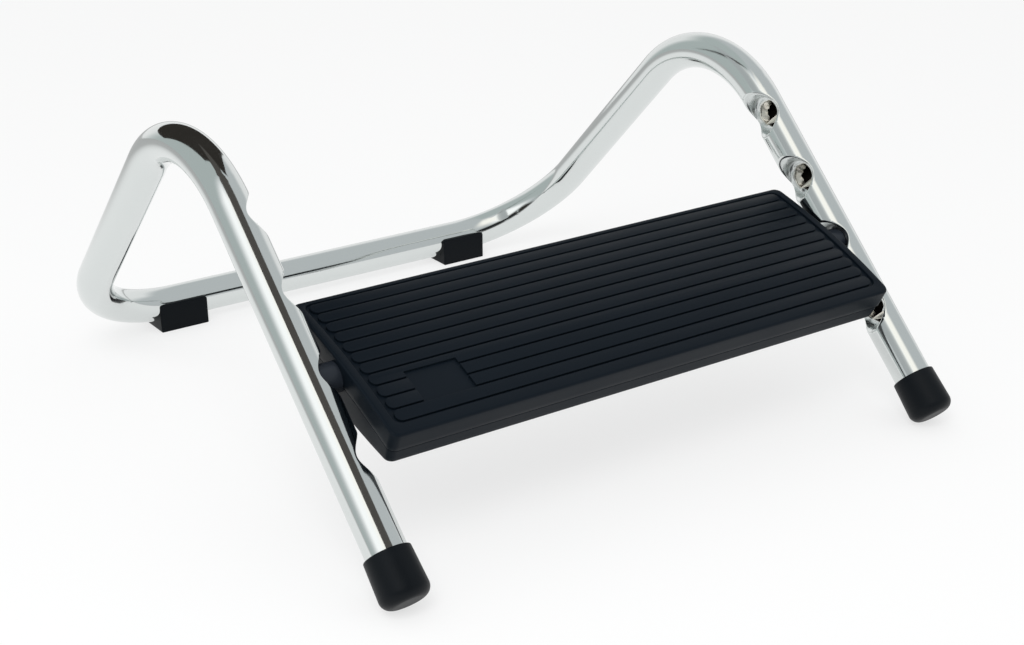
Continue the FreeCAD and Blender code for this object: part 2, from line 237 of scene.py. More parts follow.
class FootrestStageSizes(bpy.types.PropertyGroup):
    """The camera, the floor and the light."""

    camera: FloatVectorProperty(
        name="Camera", description="Where the camera stands", subtype="TRANSLATION", unit="LENGTH",
        default=(-0.54636, -0.81950, 0.44228),
    )
    azimuth: angle("Azimuth", "Direction of the view, from straight back towards the right", 36.146)
    elevation: angle("Elevation", "How far the view looks down", 24.847)
    roll: angle("Roll", "How far the camera leans", -0.319)
    lens: FloatProperty(name="Lens", description="Focal length", default=61.52, unit="CAMERA")
    shift_x: FloatProperty(name="Shift across", description="Shift of the frame", default=-0.03694)
    shift_y: FloatProperty(name="Shift up", description="Shift of the frame", default=0.07764)
    floor_side: length("Floor side", "Side of the square floor", 9000.0)
    mirror_dimming: FloatProperty(
        name="Mirror dimming", description="How much darker the floor reflects far out",
        default=0.6, min=0.0, max=1.0, subtype="FACTOR",
    )
    dimming_start: length("Dimming start", "Distance out at which the floor reflects darker", 400.0)
    dimming_end: length("Dimming end", "Distance out at which the floor reflects darkest", 1000.0)
    floor_glow: FloatProperty(
        name="Floor glow", description="Share of plain white in the floor that is seen", default=0.68
    )
    daylight: FloatProperty(name="Daylight", description="Strength of the even light", default=0.8)
    lamp_power: FloatProperty(
        name="Lamp power", description="Power of the lamp", default=14.0, unit="POWER"
    )
    lamp_side: length("Lamp side", "Side of the square lamp", 900.0)
    lamp_place: FloatVectorProperty(
        name="Lamp", description="Where the lamp stands", subtype="TRANSLATION", unit="LENGTH",
        default=(-0.9, -0.9, 1.5),
    )


# Meshes


# How often a range is halved to find a crossing in it
HALVINGS = 36


def new_object(name, data):
    made = bpy.data.objects.new(name, data)
    bpy.context.scene.collection.objects.link(made)
    return made


def mesh_object(name, builder):
    """An object from a bmesh as it is."""
    mesh = bpy.data.meshes.new(name)
    builder.to_mesh(mesh)
    builder.free()
    return new_object(name, mesh)


def shade(mesh, sharp_angle=SHARP_ANGLE):
    mesh.shade_smooth()
    mesh.set_sharp_from_angle(angle=sharp_angle)


def finish_mesh(name, builder):
    """An object from a bmesh: doubles merged, faces outwards, shaded smooth between sharp edges."""
    bmesh.ops.remove_doubles(builder, verts=builder.verts, dist=TINY)
    bmesh.ops.dissolve_degenerate(builder, edges=builder.edges, dist=TINY)
    bmesh.ops.recalc_face_normals(builder, faces=builder.faces)
    piece = mesh_object(name, builder)
    shade(piece.data)
    return piece


def add_ring(builder, points):
    return [builder.verts.new(point) for point in points]


def mark(builder, name, vertices, value=1.0):
    """Writes a value on vertices, for a material to read."""
    layer = builder.verts.layers.float.get(name)
    for vertex in vertices:
        vertex[layer] = value


def bridge(builder, lower, upper, closed=True):
    """Quads between two rows of as many vertices, or triangles to a row of one."""
    count = max(len(lower), len(upper))
    for index in range(count if closed else count - 1):
        following = (index + 1) % count
        corners = [
            lower[index % len(lower)], lower[following % len(lower)],
            upper[following % len(upper)], upper[index % len(upper)],
        ]
        builder.faces.new(dict.fromkeys(corners))


def bridge_all(builder, rings, closed=True):
    for lower, upper in zip(rings, rings[1:]):
        bridge(builder, lower, upper, closed)


def lathe(builder, profile, origin, axis, outward, steps):
    """Turns a profile of (distance along the axis, radius) about the axis."""
    sideways = axis.cross(outward)
    turns = [FULL_TURN * step / steps for step in range(steps)]
    spokes = [outward * math.cos(turn) + sideways * math.sin(turn) for turn in turns]
    rings = []
    for along, radius in profile:
        centre = origin + axis * along
        points = [centre + spoke * radius for spoke in spokes] if radius > TINY else [centre]
        rings.append(add_ring(builder, points))
    bridge_all(builder, rings)


def arc(centre, radius, start, end, steps):
    """Points on an arc in a plane, with its angles in degrees."""
    turns = [math.radians(start + (end - start) * step / steps) for step in range(steps + 1)]
    return [
        (centre[0] + radius * math.cos(turn), centre[1] + radius * math.sin(turn)) for turn in turns
    ]


def spread(start, end, steps):
    return [start + (end - start) * step / steps for step in range(steps + 1)]


def smooth_step(value, low, high):
    share = min(max((value - low) / (high - low), 0), 1)
    return share * share * (3 - 2 * share)


def crossing(function):
    """Where a function that is positive at 0 and negative at 1 is zero."""
    low, high = 0.0, 1.0
    for _ in range(HALVINGS):
        middle = (low + high) / 2
        if function(middle) > 0:
            low = middle
        else:
            high = middle
    return low


def applied(piece):
    """Replaces an object's mesh by what its modifiers make of it."""
    bpy.context.view_layer.update()
    graph = bpy.context.evaluated_depsgraph_get()
    mesh = bpy.data.meshes.new_from_object(piece.evaluated_get(graph), depsgraph=graph)
    piece.modifiers.clear()
    piece.data = mesh
    return piece


# Nodes


def add_node(tree, kind, inputs=(), **settings):
    """Adds a node with its settings.

    An input is given a value, a socket to link, or a node whose first output is linked. Inputs
    that are told apart by place alone come as a row."""
    node = tree.nodes.new(kind)
    for name, value in settings.items():
        setattr(node, name, value)
    for key, value in inputs.items() if isinstance(inputs, dict) else enumerate(inputs):
        if isinstance(value, bpy.types.Node):
            value = value.outputs[0]
        if isinstance(value, bpy.types.NodeSocket):
            tree.links.new(value, node.inputs[key])
        else:
            node.inputs[key].default_value = value
    return node


def new_material(name):
    material = bpy.data.materials.new(name)
    material.use_nodes = True
    material.node_tree.nodes.clear()
    return material, material.node_tree


def new_geometry_tree(name, inputs):
    """A tree with named inputs, listed by their kind, and one geometry output."""
    tree = bpy.data.node_groups.new(name, "GeometryNodeTree")
    for kind, labels in inputs.items():
        for label in labels:
            tree.interface.new_socket(name=label, in_out="INPUT", socket_type="NodeSocket" + kind)
    tree.interface.new_socket(name="Geometry", in_out="OUTPUT", socket_type="NodeSocketGeometry")
    return tree, add_node(tree, "NodeGroupInput").outputs


def finished_geometry_tree(tree, given, geometry):
    """Ends a tree: its instances are made real and its material is set."""
    real = add_node(tree, "GeometryNodeRealizeInstances", {"Geometry": geometry})
    dressed = add_node(
        tree, "GeometryNodeSetMaterial", {"Geometry": real, "Material": given["Material"]}
    )
    add_node(tree, "NodeGroupOutput", {"Geometry": dressed})
    return tree


def piece_by_nodes(name, tree, values):
    """A plain mesh object from a tree of geometry nodes and the values of its inputs."""
    piece = new_object(name, bpy.data.meshes.new(name))
    modifier = piece.modifiers.new("Build", "NODES")
    modifier.node_group = tree
    for item in tree.interface.items_tree:
        if item.in_out == "INPUT":
            modifier[item.identifier] = values[item.name]
    applied(piece)
    if not piece.data.polygons:
        raise RuntimeError(name + " came out empty")
    return piece


# Materials


# How large the patterns on the finishes really are
HAZE_PATCH = 30 * MM
TUBE_WAVE = 60 * MM
TUBE_WAVE_HEIGHT = 0.03 * MM
SCUFFED_PATCH = 45 * MM


def chrome_plate(finishes):
    """Decorative chrome plate on a drawn steel tube.

    It gives the eye a clear, slightly green-grey mirror with faint handling haze. It is duller
    where the sockets' metal was stretched. The steel inside the tube is bare, and its colour is
    darkened further as painted shade inside the tube."""
    material, tree = new_material("chrome_plate")
    place = add_node(tree, "ShaderNodeTexCoord").outputs["Object"]
    haze = add_node(tree, "ShaderNodeTexNoise", {"Vector": place, "Scale": 1 / HAZE_PATCH, "Detail": 3.0})
    clear = add_node(
        tree, "ShaderNodeMapRange",
        {"Value": haze, "From Min": 0.35, "From Max": 0.7, "To Min": 0.06, "To Max": 0.12},
    )
    stretched = add_node(tree, "ShaderNodeAttribute", attribute_name="stretched").outputs["Fac"]
    # a little stretching already dulls the plate, and the most adds 0.3 to its roughness
    dulling = add_node(tree, "ShaderNodeMath", (stretched,), operation="SQRT")
    dulled = add_node(tree, "ShaderNodeMath", (dulling, 0.3, clear), operation="MULTIPLY_ADD")
    # the plate is thin where the metal was stretched most, and warmer nickel shows through
    thin = add_node(
        tree, "ShaderNodeMapRange", {"Value": stretched, "From Min": 0.82, "From Max": 0.99}
    )
    tint = add_node(
        tree, "ShaderNodeMix",
        {"Factor": thin, "A": (*finishes.chrome, 1), "B": (*finishes.nickel, 1)}, data_type="RGBA",
    )
    # the drawn tube's waviness is too low to see but in its reflections
    waves = add_node(tree, "ShaderNodeTexNoise", {"Vector": place, "Scale": 1 / TUBE_WAVE, "Detail": 0.0})
    bump = add_node(
        tree, "ShaderNodeBump", {"Height": waves, "Distance": TUBE_WAVE_HEIGHT, "Strength": 0.5}
    )
    plated = add_node(
        tree, "ShaderNodeBsdfPrincipled",
        {"Base Color": tint.outputs["Result"], "Metallic": 1.0, "Roughness": dulled, "Normal": bump},
    )
    # the steel inside the tube: bare, and darker than bare steel is, as painted shade inside the tube
    bare = add_node(
        tree, "ShaderNodeBsdfPrincipled",
        {"Base Color": (*finishes.bare, 1), "Metallic": 1.0, "Roughness": 0.6},
    )
    inside = add_node(tree, "ShaderNodeAttribute", attribute_name="inside").outputs["Fac"]
    both = add_node(tree, "ShaderNodeMixShader", (inside, plated, bare))
    add_node(tree, "ShaderNodeOutputMaterial", {"Surface": both})
    return material


def moulded(name, base, roughness, specular, grain, grain_height, mottle):
    """A moulded plastic or rubber: one colour, a fine grain from the mould and faint scuffs.

    The real grain is too fine to show, so it is drawn as coarse as it needs to show."""
    material, tree = new_material(name)
    place = add_node(tree, "ShaderNodeTexCoord").outputs["Object"]
    grains = add_node(tree, "ShaderNodeTexNoise", {"Vector": place, "Scale": 1 / grain, "Detail": 2.0})
    scuffs = add_node(
        tree, "ShaderNodeTexNoise", {"Vector": place, "Scale": 1 / SCUFFED_PATCH, "Detail": 4.0}
    )
    tone, gloss = (
        add_node(
            tree, "ShaderNodeMapRange",
            {"Value": scuffs, "From Min": 0.3, "From Max": 0.7, "To Min": low, "To Max": high},
        )
        for low, high in ((1 - mottle, 1 + mottle), (roughness - 0.04, roughness + 0.05))
    )
    tinted = add_node(
        tree, "ShaderNodeVectorMath", {0: tuple(base), "Scale": tone}, operation="SCALE"
    )
    bump = add_node(
        tree, "ShaderNodeBump", {"Height": grains, "Distance": grain_height, "Strength": 0.8}
    )
    shader = add_node(
        tree, "ShaderNodeBsdfPrincipled",
        {"Base Color": tinted, "Roughness": gloss, "Specular IOR Level": specular, "Normal": bump},
    )
    add_node(tree, "ShaderNodeOutputMaterial", {"Surface": shader})
    return material


def tip_rubber(finishes):
    """Moulded rubber. It gives the eye a soft black with a dull, wide sheen."""
    return moulded(
        "moulded_rubber", finishes.rubber, roughness=0.42, specular=0.12,
        grain=0.5 * MM, grain_height=0.02 * MM, mottle=0.06,
    )


def glide_polypropylene(finishes):
    """Moulded polypropylene. It gives the eye a near black with a faint waxy sheen."""
    return moulded(
        "moulded_polypropylene", finishes.glide, roughness=0.34, specular=0.08,
        grain=0.6 * MM, grain_height=0.012 * MM, mottle=0.05,
    )


def tread_abs(finishes):
    """Moulded ABS, made once for the tread's cover, strips and base.

    It gives the eye a slate black, satin all over."""
    return bpy.data.materials.get("moulded_abs") or moulded(
        "moulded_abs", finishes.tread, roughness=0.38, specular=0.075,
        grain=0.7 * MM, grain_height=0.02 * MM, mottle=0.05,
    )


def plug_acetal(finishes):
    """Moulded acetal. It gives the eye a smooth dark grey, glossier than the tread."""
    return moulded(
        "moulded_acetal", finishes.plug, roughness=0.3, specular=0.25,
        grain=0.5 * MM, grain_height=0.01 * MM, mottle=0.04,
    )


def zinc_plate(finishes):
    """Zinc plate on small steel screws. It gives the eye a bright but hazy metal, a little cool.

    Its crystals are too fine to show, so its haze is drawn in patches of 1.5 mm."""
    material, tree = new_material("zinc_plate")
    place = add_node(tree, "ShaderNodeTexCoord").outputs["Object"]
    haze = add_node(tree, "ShaderNodeTexNoise", {"Vector": place, "Scale": 1 / (1.5 * MM), "Detail": 2.0})
    roughness = add_node(tree, "ShaderNodeMapRange", {"Value": haze, "To Min": 0.22, "To Max": 0.4})
    shader = add_node(
        tree, "ShaderNodeBsdfPrincipled",
        {"Base Color": (*finishes.zinc, 1), "Metallic": 1.0, "Roughness": roughness},
    )
    add_node(tree, "ShaderNodeOutputMaterial", {"Surface": shader})
    return material


# The tube's centre line


def inner_face_x(tube):
    """How far the legs' inner faces are from the middle."""
    return tube.leg_spacing / 2 - tube.radius


# The path's parts that lie in the plane of the side: the leg, the crown and the rear leg
SIDE_PARTS = 3
# Points in a ring around the tube, and the distance between rings where it is straight or bent
RING_STEPS = 80
STRAIGHT_STEP = 8 * MM
BEND_STEP = 2.5 * MM


class TubePath:
    """The centre line of the right half of the tube, from its foot to the middle of the bar."""

    def __init__(self, tube, sockets):
        self.tube = tube
        self.leg = Vector((0, math.cos(tube.front_angle), math.sin(tube.front_angle)))
        self.rear = Vector((0, math.cos(tube.rear_angle), -math.sin(tube.rear_angle)))
        self.side_x = tube.leg_spacing / 2
        self.inner_face_x = inner_face_x(tube)
        used = sockets.first + sockets.pitch * sockets.used
        self.foot = Vector((self.side_x, PIVOT.y, PIVOT.z)) - self.leg * used
        self.leg_side = self.leg.cross(-ACROSS)
        self.bar_side = self.rear.cross(-ACROSS)
        crown = self.foot + self.leg * (tube.crown_height / math.sin(tube.front_angle))
        drop = tube.crown_height - tube.bar_height
        corner = crown + self.rear * (drop / math.sin(tube.rear_angle))
        middle = Vector((0, corner.y, corner.z))
        self.bar_middle = middle
        self.parts = []
        start = self.foot
        run = 0.0
        corners = [(crown, tube.crown_bend, self.rear), (corner, tube.corner_bend, -ACROSS)]
        for place, bend, leaving in corners:
            arriving = (place - start).normalized()
            turn = arriving.angle(leaving)
            reach = bend * math.tan(turn / 2)
            straight = (place - start).length - reach
            self.parts.append((run, run + straight, start, arriving, None, bend))
            run += straight
            inward = (leaving - arriving * arriving.dot(leaving)).normalized()
            bend_start = place - arriving * reach
            self.parts.append((run, run + bend * turn, bend_start, arriving, inward, bend))
            run += bend * turn
            start = place + leaving * reach
        last = (middle - start).length
        self.parts.append((run, run + last, start, -ACROSS, None, 0.0))
        self.total = run + last
        self.crown_top = self.at((self.parts[1][0] + self.parts[1][1]) / 2)[0]

    def at(self, distance):
        """Centre, direction, inner side and other side at a distance from the foot."""
        for number, (start, end, origin, direction, inward, bend) in enumerate(self.parts):
            if distance <= end or number == len(self.parts) - 1:
                break
        centre = origin + direction * (distance - start)
        along = direction
        if inward is not None:
            turned = (distance - start) / bend
            centre = origin + direction * bend * math.sin(turned) + inward * bend * (1 - math.cos(turned))
            along = direction * math.cos(turned) + inward * math.sin(turned)
        if number < SIDE_PARTS:
            return centre, along, -ACROSS, along.cross(-ACROSS)
        return centre, along, self.bar_side.cross(along), self.bar_side

    def ring(self, distance, radius):
        centre, _, inner, side = self.at(distance)
        turns = [FULL_TURN * step / RING_STEPS - HALF_TURN for step in range(RING_STEPS)]
        return [centre + (inner * math.cos(turn) + side * math.sin(turn)) * radius for turn in turns]

    def stations(self, start, end, bend_step):
        """Distances for rings, closer together in the bends."""
        found = [start]
        for low, high, _, _, inward, _ in self.parts:
            low, high = max(low, start), min(high, end)
            if high - low > TINY:
                step = bend_step if inward is not None else STRAIGHT_STEP
                found += spread(low, high, math.ceil((high - low) / step))[1:]
        return found


# A socket's tile: how far it reaches to each side in steps of a ring, its steps along the leg, and
# its rows from the tile's edge into the hole and back inside the tube
TILE_STEPS = 26
SEAM_STEPS = 20
TILE_SHARES = (1.0, 0.84, 0.69, 0.55, 0.42, 0.31, 0.22, 0.15, 0.09, 0.05, 0.02)
DISH_SHARES = (1.0, 0.975, 0.94, 0.9, 0.85, 0.78, 0.7, 0.62, 0.54, 0.46, 0.38, 0.3, 0.22, 0.14, 0.07, 0.0)
LINING_SHARES = (0.0, 0.3, 0.65, 1.0)
BORE_SHARES = (0.1, 0.4, 0.7, 1.0)
LIP_STEPS = 4
COLLAR_STEPS = 5
PLATED_ROWS = len(TILE_SHARES) + len(DISH_SHARES) + LIP_STEPS + COLLAR_STEPS
# The rows between which the metal passes from unstretched to stretched most
UNSTRETCHED_ROW = len(TILE_SHARES) - 4
STRETCHED_ROW = PLATED_ROWS - 3
# Where the folded petals and the tear of a free socket lie, turned from straight down the leg
PETAL_TURN = math.radians(-143)
TEAR_TURN = math.radians(9)
# How far the tear and the hole of a free socket gape more than those behind the tread's plug
TEAR_WIDENING = 0.25
TEAR_EXTRA = 1.3 * MM
HOLE_EXTRA = 1.2 * MM
# Creases: how far beyond the hole they start and are full, how deep below the tube's skin they
# are full, and how large the dents among them are
CREASE_START, CREASE_FULL = 2.6 * MM, 0.8 * MM
CREASE_DEPTH = 3 * MM
DENT_SIZE = 5 * MM
# The folds around the hole: their number, how far a seed turns them and their share of the height,
# and the same for the dents, which have no number
CREASE_FOLDS = ((5, 1.7, 1.0), (8, 2.9, 0.7))
DENT_TURN, DENT_SHARE = 5.3, 0.5
# Petals: how far they are pushed in, how uneven that is, how deep their folds are, by which share
# they shorten the collar, and how many folds and ripples a whole turn would have
PETAL_REACH, PETAL_WAVE, PETAL_FOLD = 2.8 * MM, 0.35 * MM, 0.45 * MM
PETAL_SHORTENING = 0.25
PETAL_FOLDS, COLLAR_RIPPLES = 5, 9
# The ripple of a free socket's whole collar, and what the tear leaves of rounding and collar
COLLAR_RIPPLE = 0.12 * MM
TORN_ROUNDING, TORN_COLLAR = 0.25 * MM, 0.3 * MM
# How much further out than the hole and the collar the dish's rim and back have to begin
MOUTH_CLEARANCE, LINING_CLEARANCE = 1.02, 1.03


def smooth_max(first, second, blend):
    gap = max(blend - abs(first - second), 0)
    return max(first, second) + gap * gap / (4 * blend)


class Socket:
    """One pressed socket: depths below the leg's inner face, and the tile of tube around it."""

    def __init__(self, path, sizes, number, seed):
        self.path, self.sizes, self.seed = path, sizes, seed
        self.free = float(number != sizes.used)
        self.distance = sizes.first + sizes.pitch * number
        self.centre = path.foot + path.leg * self.distance
        self.slope = math.tan(sizes.draft)
        half = sizes.tear_width / 2 * (1 + TEAR_WIDENING * self.free)
        chord = math.sqrt(sizes.hole_radius ** 2 - half ** 2)
        self.tear_reach = sizes.tear_reach + TEAR_EXTRA * self.free
        self.tear_slope = half / (self.tear_reach - chord)
        self.tear_angle = math.asin(half / sizes.hole_radius)

    def dish_depth(self, reach):
        """The dish's own depth at a distance from its axis, with its rounded floor."""
        sizes = self.sizes
        floor_reach = sizes.mouth_radius - sizes.depth * self.slope
        tangent = sizes.floor_rounding * math.tan((HALF_TURN / 2 - sizes.draft) / 2)
        arc_start = floor_reach - tangent
        arc_end = floor_reach + tangent * math.sin(sizes.draft)
        if reach <= arc_start:
            return sizes.depth
        if reach >= arc_end:
            return (sizes.mouth_radius - reach) / self.slope
        across = reach - arc_start
        rise = sizes.floor_rounding - math.sqrt(max(sizes.floor_rounding ** 2 - across ** 2, 0))
        return sizes.depth - rise

    def lining_depth(self, reach):
        """The depth of the dish's back, inside the tube, at a distance from its axis."""
        sizes, wall = self.sizes, self.path.tube.wall
        lining = (sizes.mouth_radius + wall / math.cos(sizes.draft) - reach) / self.slope
        return min(lining, sizes.depth + wall)

    def crease(self, up, sideways):
        """The folds that the piercing punch left around the hole."""
        reach, hole = math.hypot(up, sideways), self.sizes.hole_radius
        near = smooth_step(-reach, -hole - CREASE_START, -hole - CREASE_FULL)
        turn = math.atan2(sideways, up)
        folds = sum(
            share * math.sin(number * turn + turned * self.seed)
            for number, turned, share in CREASE_FOLDS
        )
        place = Vector((up, sideways, 0)) / DENT_SIZE + Vector((0, 0, DENT_TURN * self.seed))
        return self.sizes.crumple * near * (folds + DENT_SHARE * noise.noise(place))

    def edge_reach(self, turn_down):
        """Distance of the hole's edge from the axis, at an angle from straight down the leg."""
        near = smooth_step(math.sin(turn_down), 0.3, 0.95) * self.free
        round_reach = self.sizes.hole_radius + HOLE_EXTRA * near
        lean = abs(turn_down - TEAR_TURN * self.free)
        if lean >= self.tear_angle:
            return round_reach
        reach = self.tear_slope * self.tear_reach / (math.sin(lean) + self.tear_slope * math.cos(lean))
        return max(reach, round_reach)

    def kept(self, turn_down):
        """1 where the hole's edge is whole, falling to 0 at the tear."""
        lean = abs(turn_down - TEAR_TURN * self.free)
        return smooth_step(lean, self.tear_angle * 0.9, self.tear_angle * 1.35)

    def point(self, up, sideways, depth):
        place = self.centre + self.path.leg * up + self.path.leg_side * sideways
        return Vector((self.path.inner_face_x + depth, place.y, place.z))

    def ray(self, end_distance, end_turn):
        """One column of points from the tile's edge into the hole and back along the inside."""
        sizes, path = self.sizes, self.path
        outer, wall = path.tube.radius, path.tube.wall
        inner = outer - wall

        def spot(share, radius):
            """Up the leg, to the side, depth and distance from the axis, for a place on the tube."""
            turn = end_turn * share
            centre, _, _, side = path.at(self.distance + (end_distance - self.distance) * share)
            place = centre + side * (radius * math.sin(turn)) - self.centre
            up, sideways = place.dot(path.leg), place.dot(path.leg_side)
            return up, sideways, outer - radius * math.cos(turn), math.hypot(up, sideways)

        def outside_edge(share):
            _, _, depth, reach = spot(share, outer)
            return self.dish_depth(reach) - depth

        def hole_edge(share):
            up, sideways, _, reach = spot(share, outer)
            lean = math.atan2(sideways, -up)
            return self.edge_reach(lean) + sizes.lip_rounding * self.kept(lean) - reach

        def lining_edge(share):
            _, _, depth, reach = spot(share, inner)
            return self.lining_depth(reach) - depth

        def collar_edge(share):
            return hole + wall - spot(share, inner)[3]

        points = []
        edge = crossing(hole_edge)
        mouth = max(crossing(outside_edge), edge * MOUTH_CLEARANCE)
        shares = [mouth + (1 - mouth) * share for share in TILE_SHARES]
        shares += [edge + (mouth - edge) * share for share in DISH_SHARES]
        for share in shares:
            up, sideways, depth, reach = spot(share, outer)
            dish = self.dish_depth(reach)
            inside = smooth_step(dish - depth, 0.0, CREASE_DEPTH)
            floor = smooth_max(depth, dish, sizes.rim_blend) + self.crease(up, sideways) * inside
            points.append(self.point(up, sideways, floor))
        # the lip, the collar and back up its outside
        lean = math.atan2(sideways, -up)
        keep = self.kept(lean)
        away = Vector((up, sideways)) / reach
        rounding = sizes.lip_rounding * keep + TORN_ROUNDING * (1 - keep)
        hole = reach - rounding
        for turn in spread(0, HALF_TURN / 2, LIP_STEPS)[1:]:
            lip_reach = hole + rounding * (1 - math.sin(turn))
            points.append(self.point(*(away * lip_reach), floor + rounding * (1 - math.cos(turn))))
        petal = smooth_step(math.cos(lean - PETAL_TURN), 0.0, 0.6) * self.free
        collar = (wall + sizes.collar * keep) * (1 - PETAL_SHORTENING * petal)
        collar = max(collar, rounding + TORN_COLLAR)
        inwards = petal * (PETAL_REACH + PETAL_WAVE * math.sin(PETAL_FOLDS * lean + 1.3 * self.seed))
        inwards += COLLAR_RIPPLE * math.sin(COLLAR_RIPPLES * lean + self.seed) * keep * self.free
        folded = PETAL_FOLD * petal * math.sin(PETAL_FOLDS * lean + 2 * self.seed)
        for share in spread(0, 1, COLLAR_STEPS)[1:]:
            fold = folded * math.sin(HALF_TURN * share)
            down = rounding + (collar - rounding) * share
            points.append(self.point(*(away * (hole - inwards * share - fold)), floor + down))
        points.append(self.point(*(away * (hole - inwards + wall * 0.8)), floor + collar))
        # the inside of the tube
        start = crossing(collar_edge)
        lining = max(crossing(lining_edge), start * LINING_CLEARANCE)
        shares = [start + (lining - start) * share for share in LINING_SHARES]
        shares += [lining + (1 - lining) * share for share in BORE_SHARES]
        for share in shares:
            up, sideways, depth, reach = spot(share, inner)
            points.append(self.point(up, sideways, max(depth, self.lining_depth(reach))))
        return points

    def seam(self):
        """Distances up the leg along the tile's side, from half a pitch below to half above."""
        half = self.sizes.pitch / 2
        return spread(self.distance - half, self.distance + half, SEAM_STEPS)

    def edge_places(self):
        """Places around the tile's edge: along one ring, the seam, the other ring and back."""
        reach = FULL_TURN * TILE_STEPS / RING_STEPS
        ring = spread(-reach, reach, 2 * TILE_STEPS)
        seam = self.seam()
        places = [(seam[0], turn) for turn in ring[:-1]]
        places += [(distance, reach) for distance in seam[:-1]]
        places += [(seam[-1], turn) for turn in reversed(ring[1:])]
        places += [(distance, -reach) for distance in reversed(seam[1:])]
        return places


# A flap's corners: up the leg and to the side from the socket's centre, and below the leg's
# inner face. It is slightly uneven from socket to socket
FLAP_UPPER = Vector((-6.6, 9.3, 6.3)) * MM
FLAP_LOWER = Vector((-10.4, 7.6, 4.2)) * MM
FLAP_TIP = Vector((-6.4, -1.2, 5.0)) * MM
FLAP_WOBBLE = 0.4 * MM
FLAP_BULGE, FLAP_SAG, FLAP_THICKNESS = 0.9 * MM, 0.6 * MM, 0.5 * MM
FLAP_STEPS = 6


def add_flap(builder, socket, side):
    """The flap of metal beside a free socket's tear, pushed inwards over the root of the tear."""
    wobble = FLAP_WOBBLE * math.sin(socket.seed)
    upper = FLAP_UPPER + Vector((wobble, 0, 0))
    lower = FLAP_LOWER + Vector((0, wobble, 0))
    tip = FLAP_TIP - Vector((0, wobble, 0))
    rings = []
    for share in spread(0, 1, FLAP_STEPS):
        top, bottom = [], []
        for along in spread(0, 1, FLAP_STEPS):
            place = upper.lerp(lower, along).lerp(tip, share)
            bulge = math.sin(HALF_TURN * along) * (1 - share) * FLAP_BULGE
            bulge -= math.sin(HALF_TURN * share) * FLAP_SAG
            for row, depth in ((top, 0), (bottom, FLAP_THICKNESS)):
                row.append(socket.point(place.x, place.y, place.z + bulge + depth))
        ring = top + bottom[::-1] if share < 1 else [top[0]]
        rings.append(add_ring(builder, mirrored_points(ring, side)))
        mark(builder, "stretched", rings[-1])
    builder.faces.new(rings[0])
    bridge_all(builder, rings)


def mirrored_points(points, side):
    return [Vector((point.x * side, point.y, point.z)) for point in points]


def add_wall(builder, path, distances, radius, side, beside_tile=False):
    """The tube's outer or inner wall, all round or only beside a socket's tile."""
    middle = RING_STEPS // 2
    rows = []
    for distance in distances:
        ring = path.ring(distance, radius)
        if beside_tile:
            ring = ring[middle + TILE_STEPS:] + ring[:middle - TILE_STEPS + 1]
        rows.append(add_ring(builder, mirrored_points(ring, side)))
        # the inner wall is marked for the dark bare steel, whose darkness is partly painted shade
        mark(builder, "inside", rows[-1], float(radius < path.tube.radius))
    bridge_all(builder, rows, closed=not beside_tile)
    return rows


def add_tube_side(builder, path, sockets, tip, side, seed):
    """One half of the tube, on the right for a side of 1 and on the left for -1."""
    tube = path.tube
    inner = tube.radius - tube.wall
    foot = tip_start(tip, tube) + tip.floor
    first_tile = sockets.first - sockets.pitch / 2
    last_tile = first_tile + sockets.pitch * sockets.count
    for start, end in ((foot, first_tile), (last_tile, path.total)):
        outer_rows, inner_rows = (
            add_wall(builder, path, path.stations(start, end, bend_step), radius, side)
            for radius, bend_step in ((tube.radius, BEND_STEP), (inner, STRAIGHT_STEP))
        )
        if start == foot:
            bridge(builder, outer_rows[0], inner_rows[0])
    for number in range(sockets.count):
        socket = Socket(path, sockets, number, seed + number)
        columns = []
        for distance, turn in socket.edge_places():
            column = add_ring(builder, mirrored_points(socket.ray(distance, turn), side))
            for row, vertex in enumerate(column[:PLATED_ROWS]):
                stretched = smooth_step(row, UNSTRETCHED_ROW, STRETCHED_ROW)
                mark(builder, "stretched", [vertex], stretched)
            # the inside of the tube is marked for the dark bare steel, whose darkness is partly painted
            # shade
            mark(builder, "inside", column[PLATED_ROWS:])
            columns.append(column)
        for column, following in zip(columns, columns[1:] + columns[:1]):
            bridge(builder, column, following, closed=False)
        if socket.free:
            add_flap(builder, socket, side)
        # the untouched outer side of the leg beside the tile
        for radius in (tube.radius, inner):
            add_wall(builder, path, socket.seam(), radius, side, beside_tile=True)


def round_normals(mesh, path):
    """Shades the untouched outside of the legs as true cylinders, also beside the sockets."""
    normals = [tuple(corner.vector) for corner in mesh.corner_normals]
    feet = {side: mirrored_points([path.foot], side)[0] for side in (-1, 1)}
    exact = {}
    for vertex in mesh.vertices:
        offset = vertex.co - feet[math.copysign(1, vertex.co.x)]
        along = offset.dot(path.leg)
        radial = offset - path.leg * along
        if 0 < along < path.parts[0][1] and abs(radial.length - path.tube.radius) < 2 * TINY:
            exact[vertex.index] = tuple(radial.normalized())
    for corner, loop in enumerate(mesh.loops):
        if loop.vertex_index in exact:
            normals[corner] = exact[loop.vertex_index]
    mesh.normals_split_custom_set(normals)


def tip_start(tip, tube):
    """Distance along the leg's centre line from the floor to the foot of the tip."""
    core = tip.radius - tip.corner
    lift = (core * math.cos(tube.front_angle) + tip.corner) / math.sin(tube.front_angle)
    return lift - tip.corner


# The tread's own coordinates: across, forward along the crown, and depth below its top


def tread_matrix(tread):
    return Matrix.Translation(PIVOT) @ Matrix.Rotation(tread.tilt, 4, "X")


def crown_point(tread, across, forward, depth):
    turn = forward / tread.crown_radius
    reach = tread.crown_radius - depth
    centre = tread.top_height - tread.crown_radius
    return Vector((across, -reach * math.sin(turn), reach * math.cos(turn) + centre))


def belly_depth_at(tread, forward, inset):
    """Depth of the belly, or of its inner face, below the crown's top."""
    turn = forward / tread.crown_radius
    centre = tread.top_height - tread.crown_radius
    rise = tread.belly_radius - tread.belly_depth - centre
    root = (rise * math.cos(turn)) ** 2 - rise ** 2 + (tread.belly_radius - inset) ** 2
    return tread.crown_radius - (rise * math.cos(turn) - math.sqrt(root))


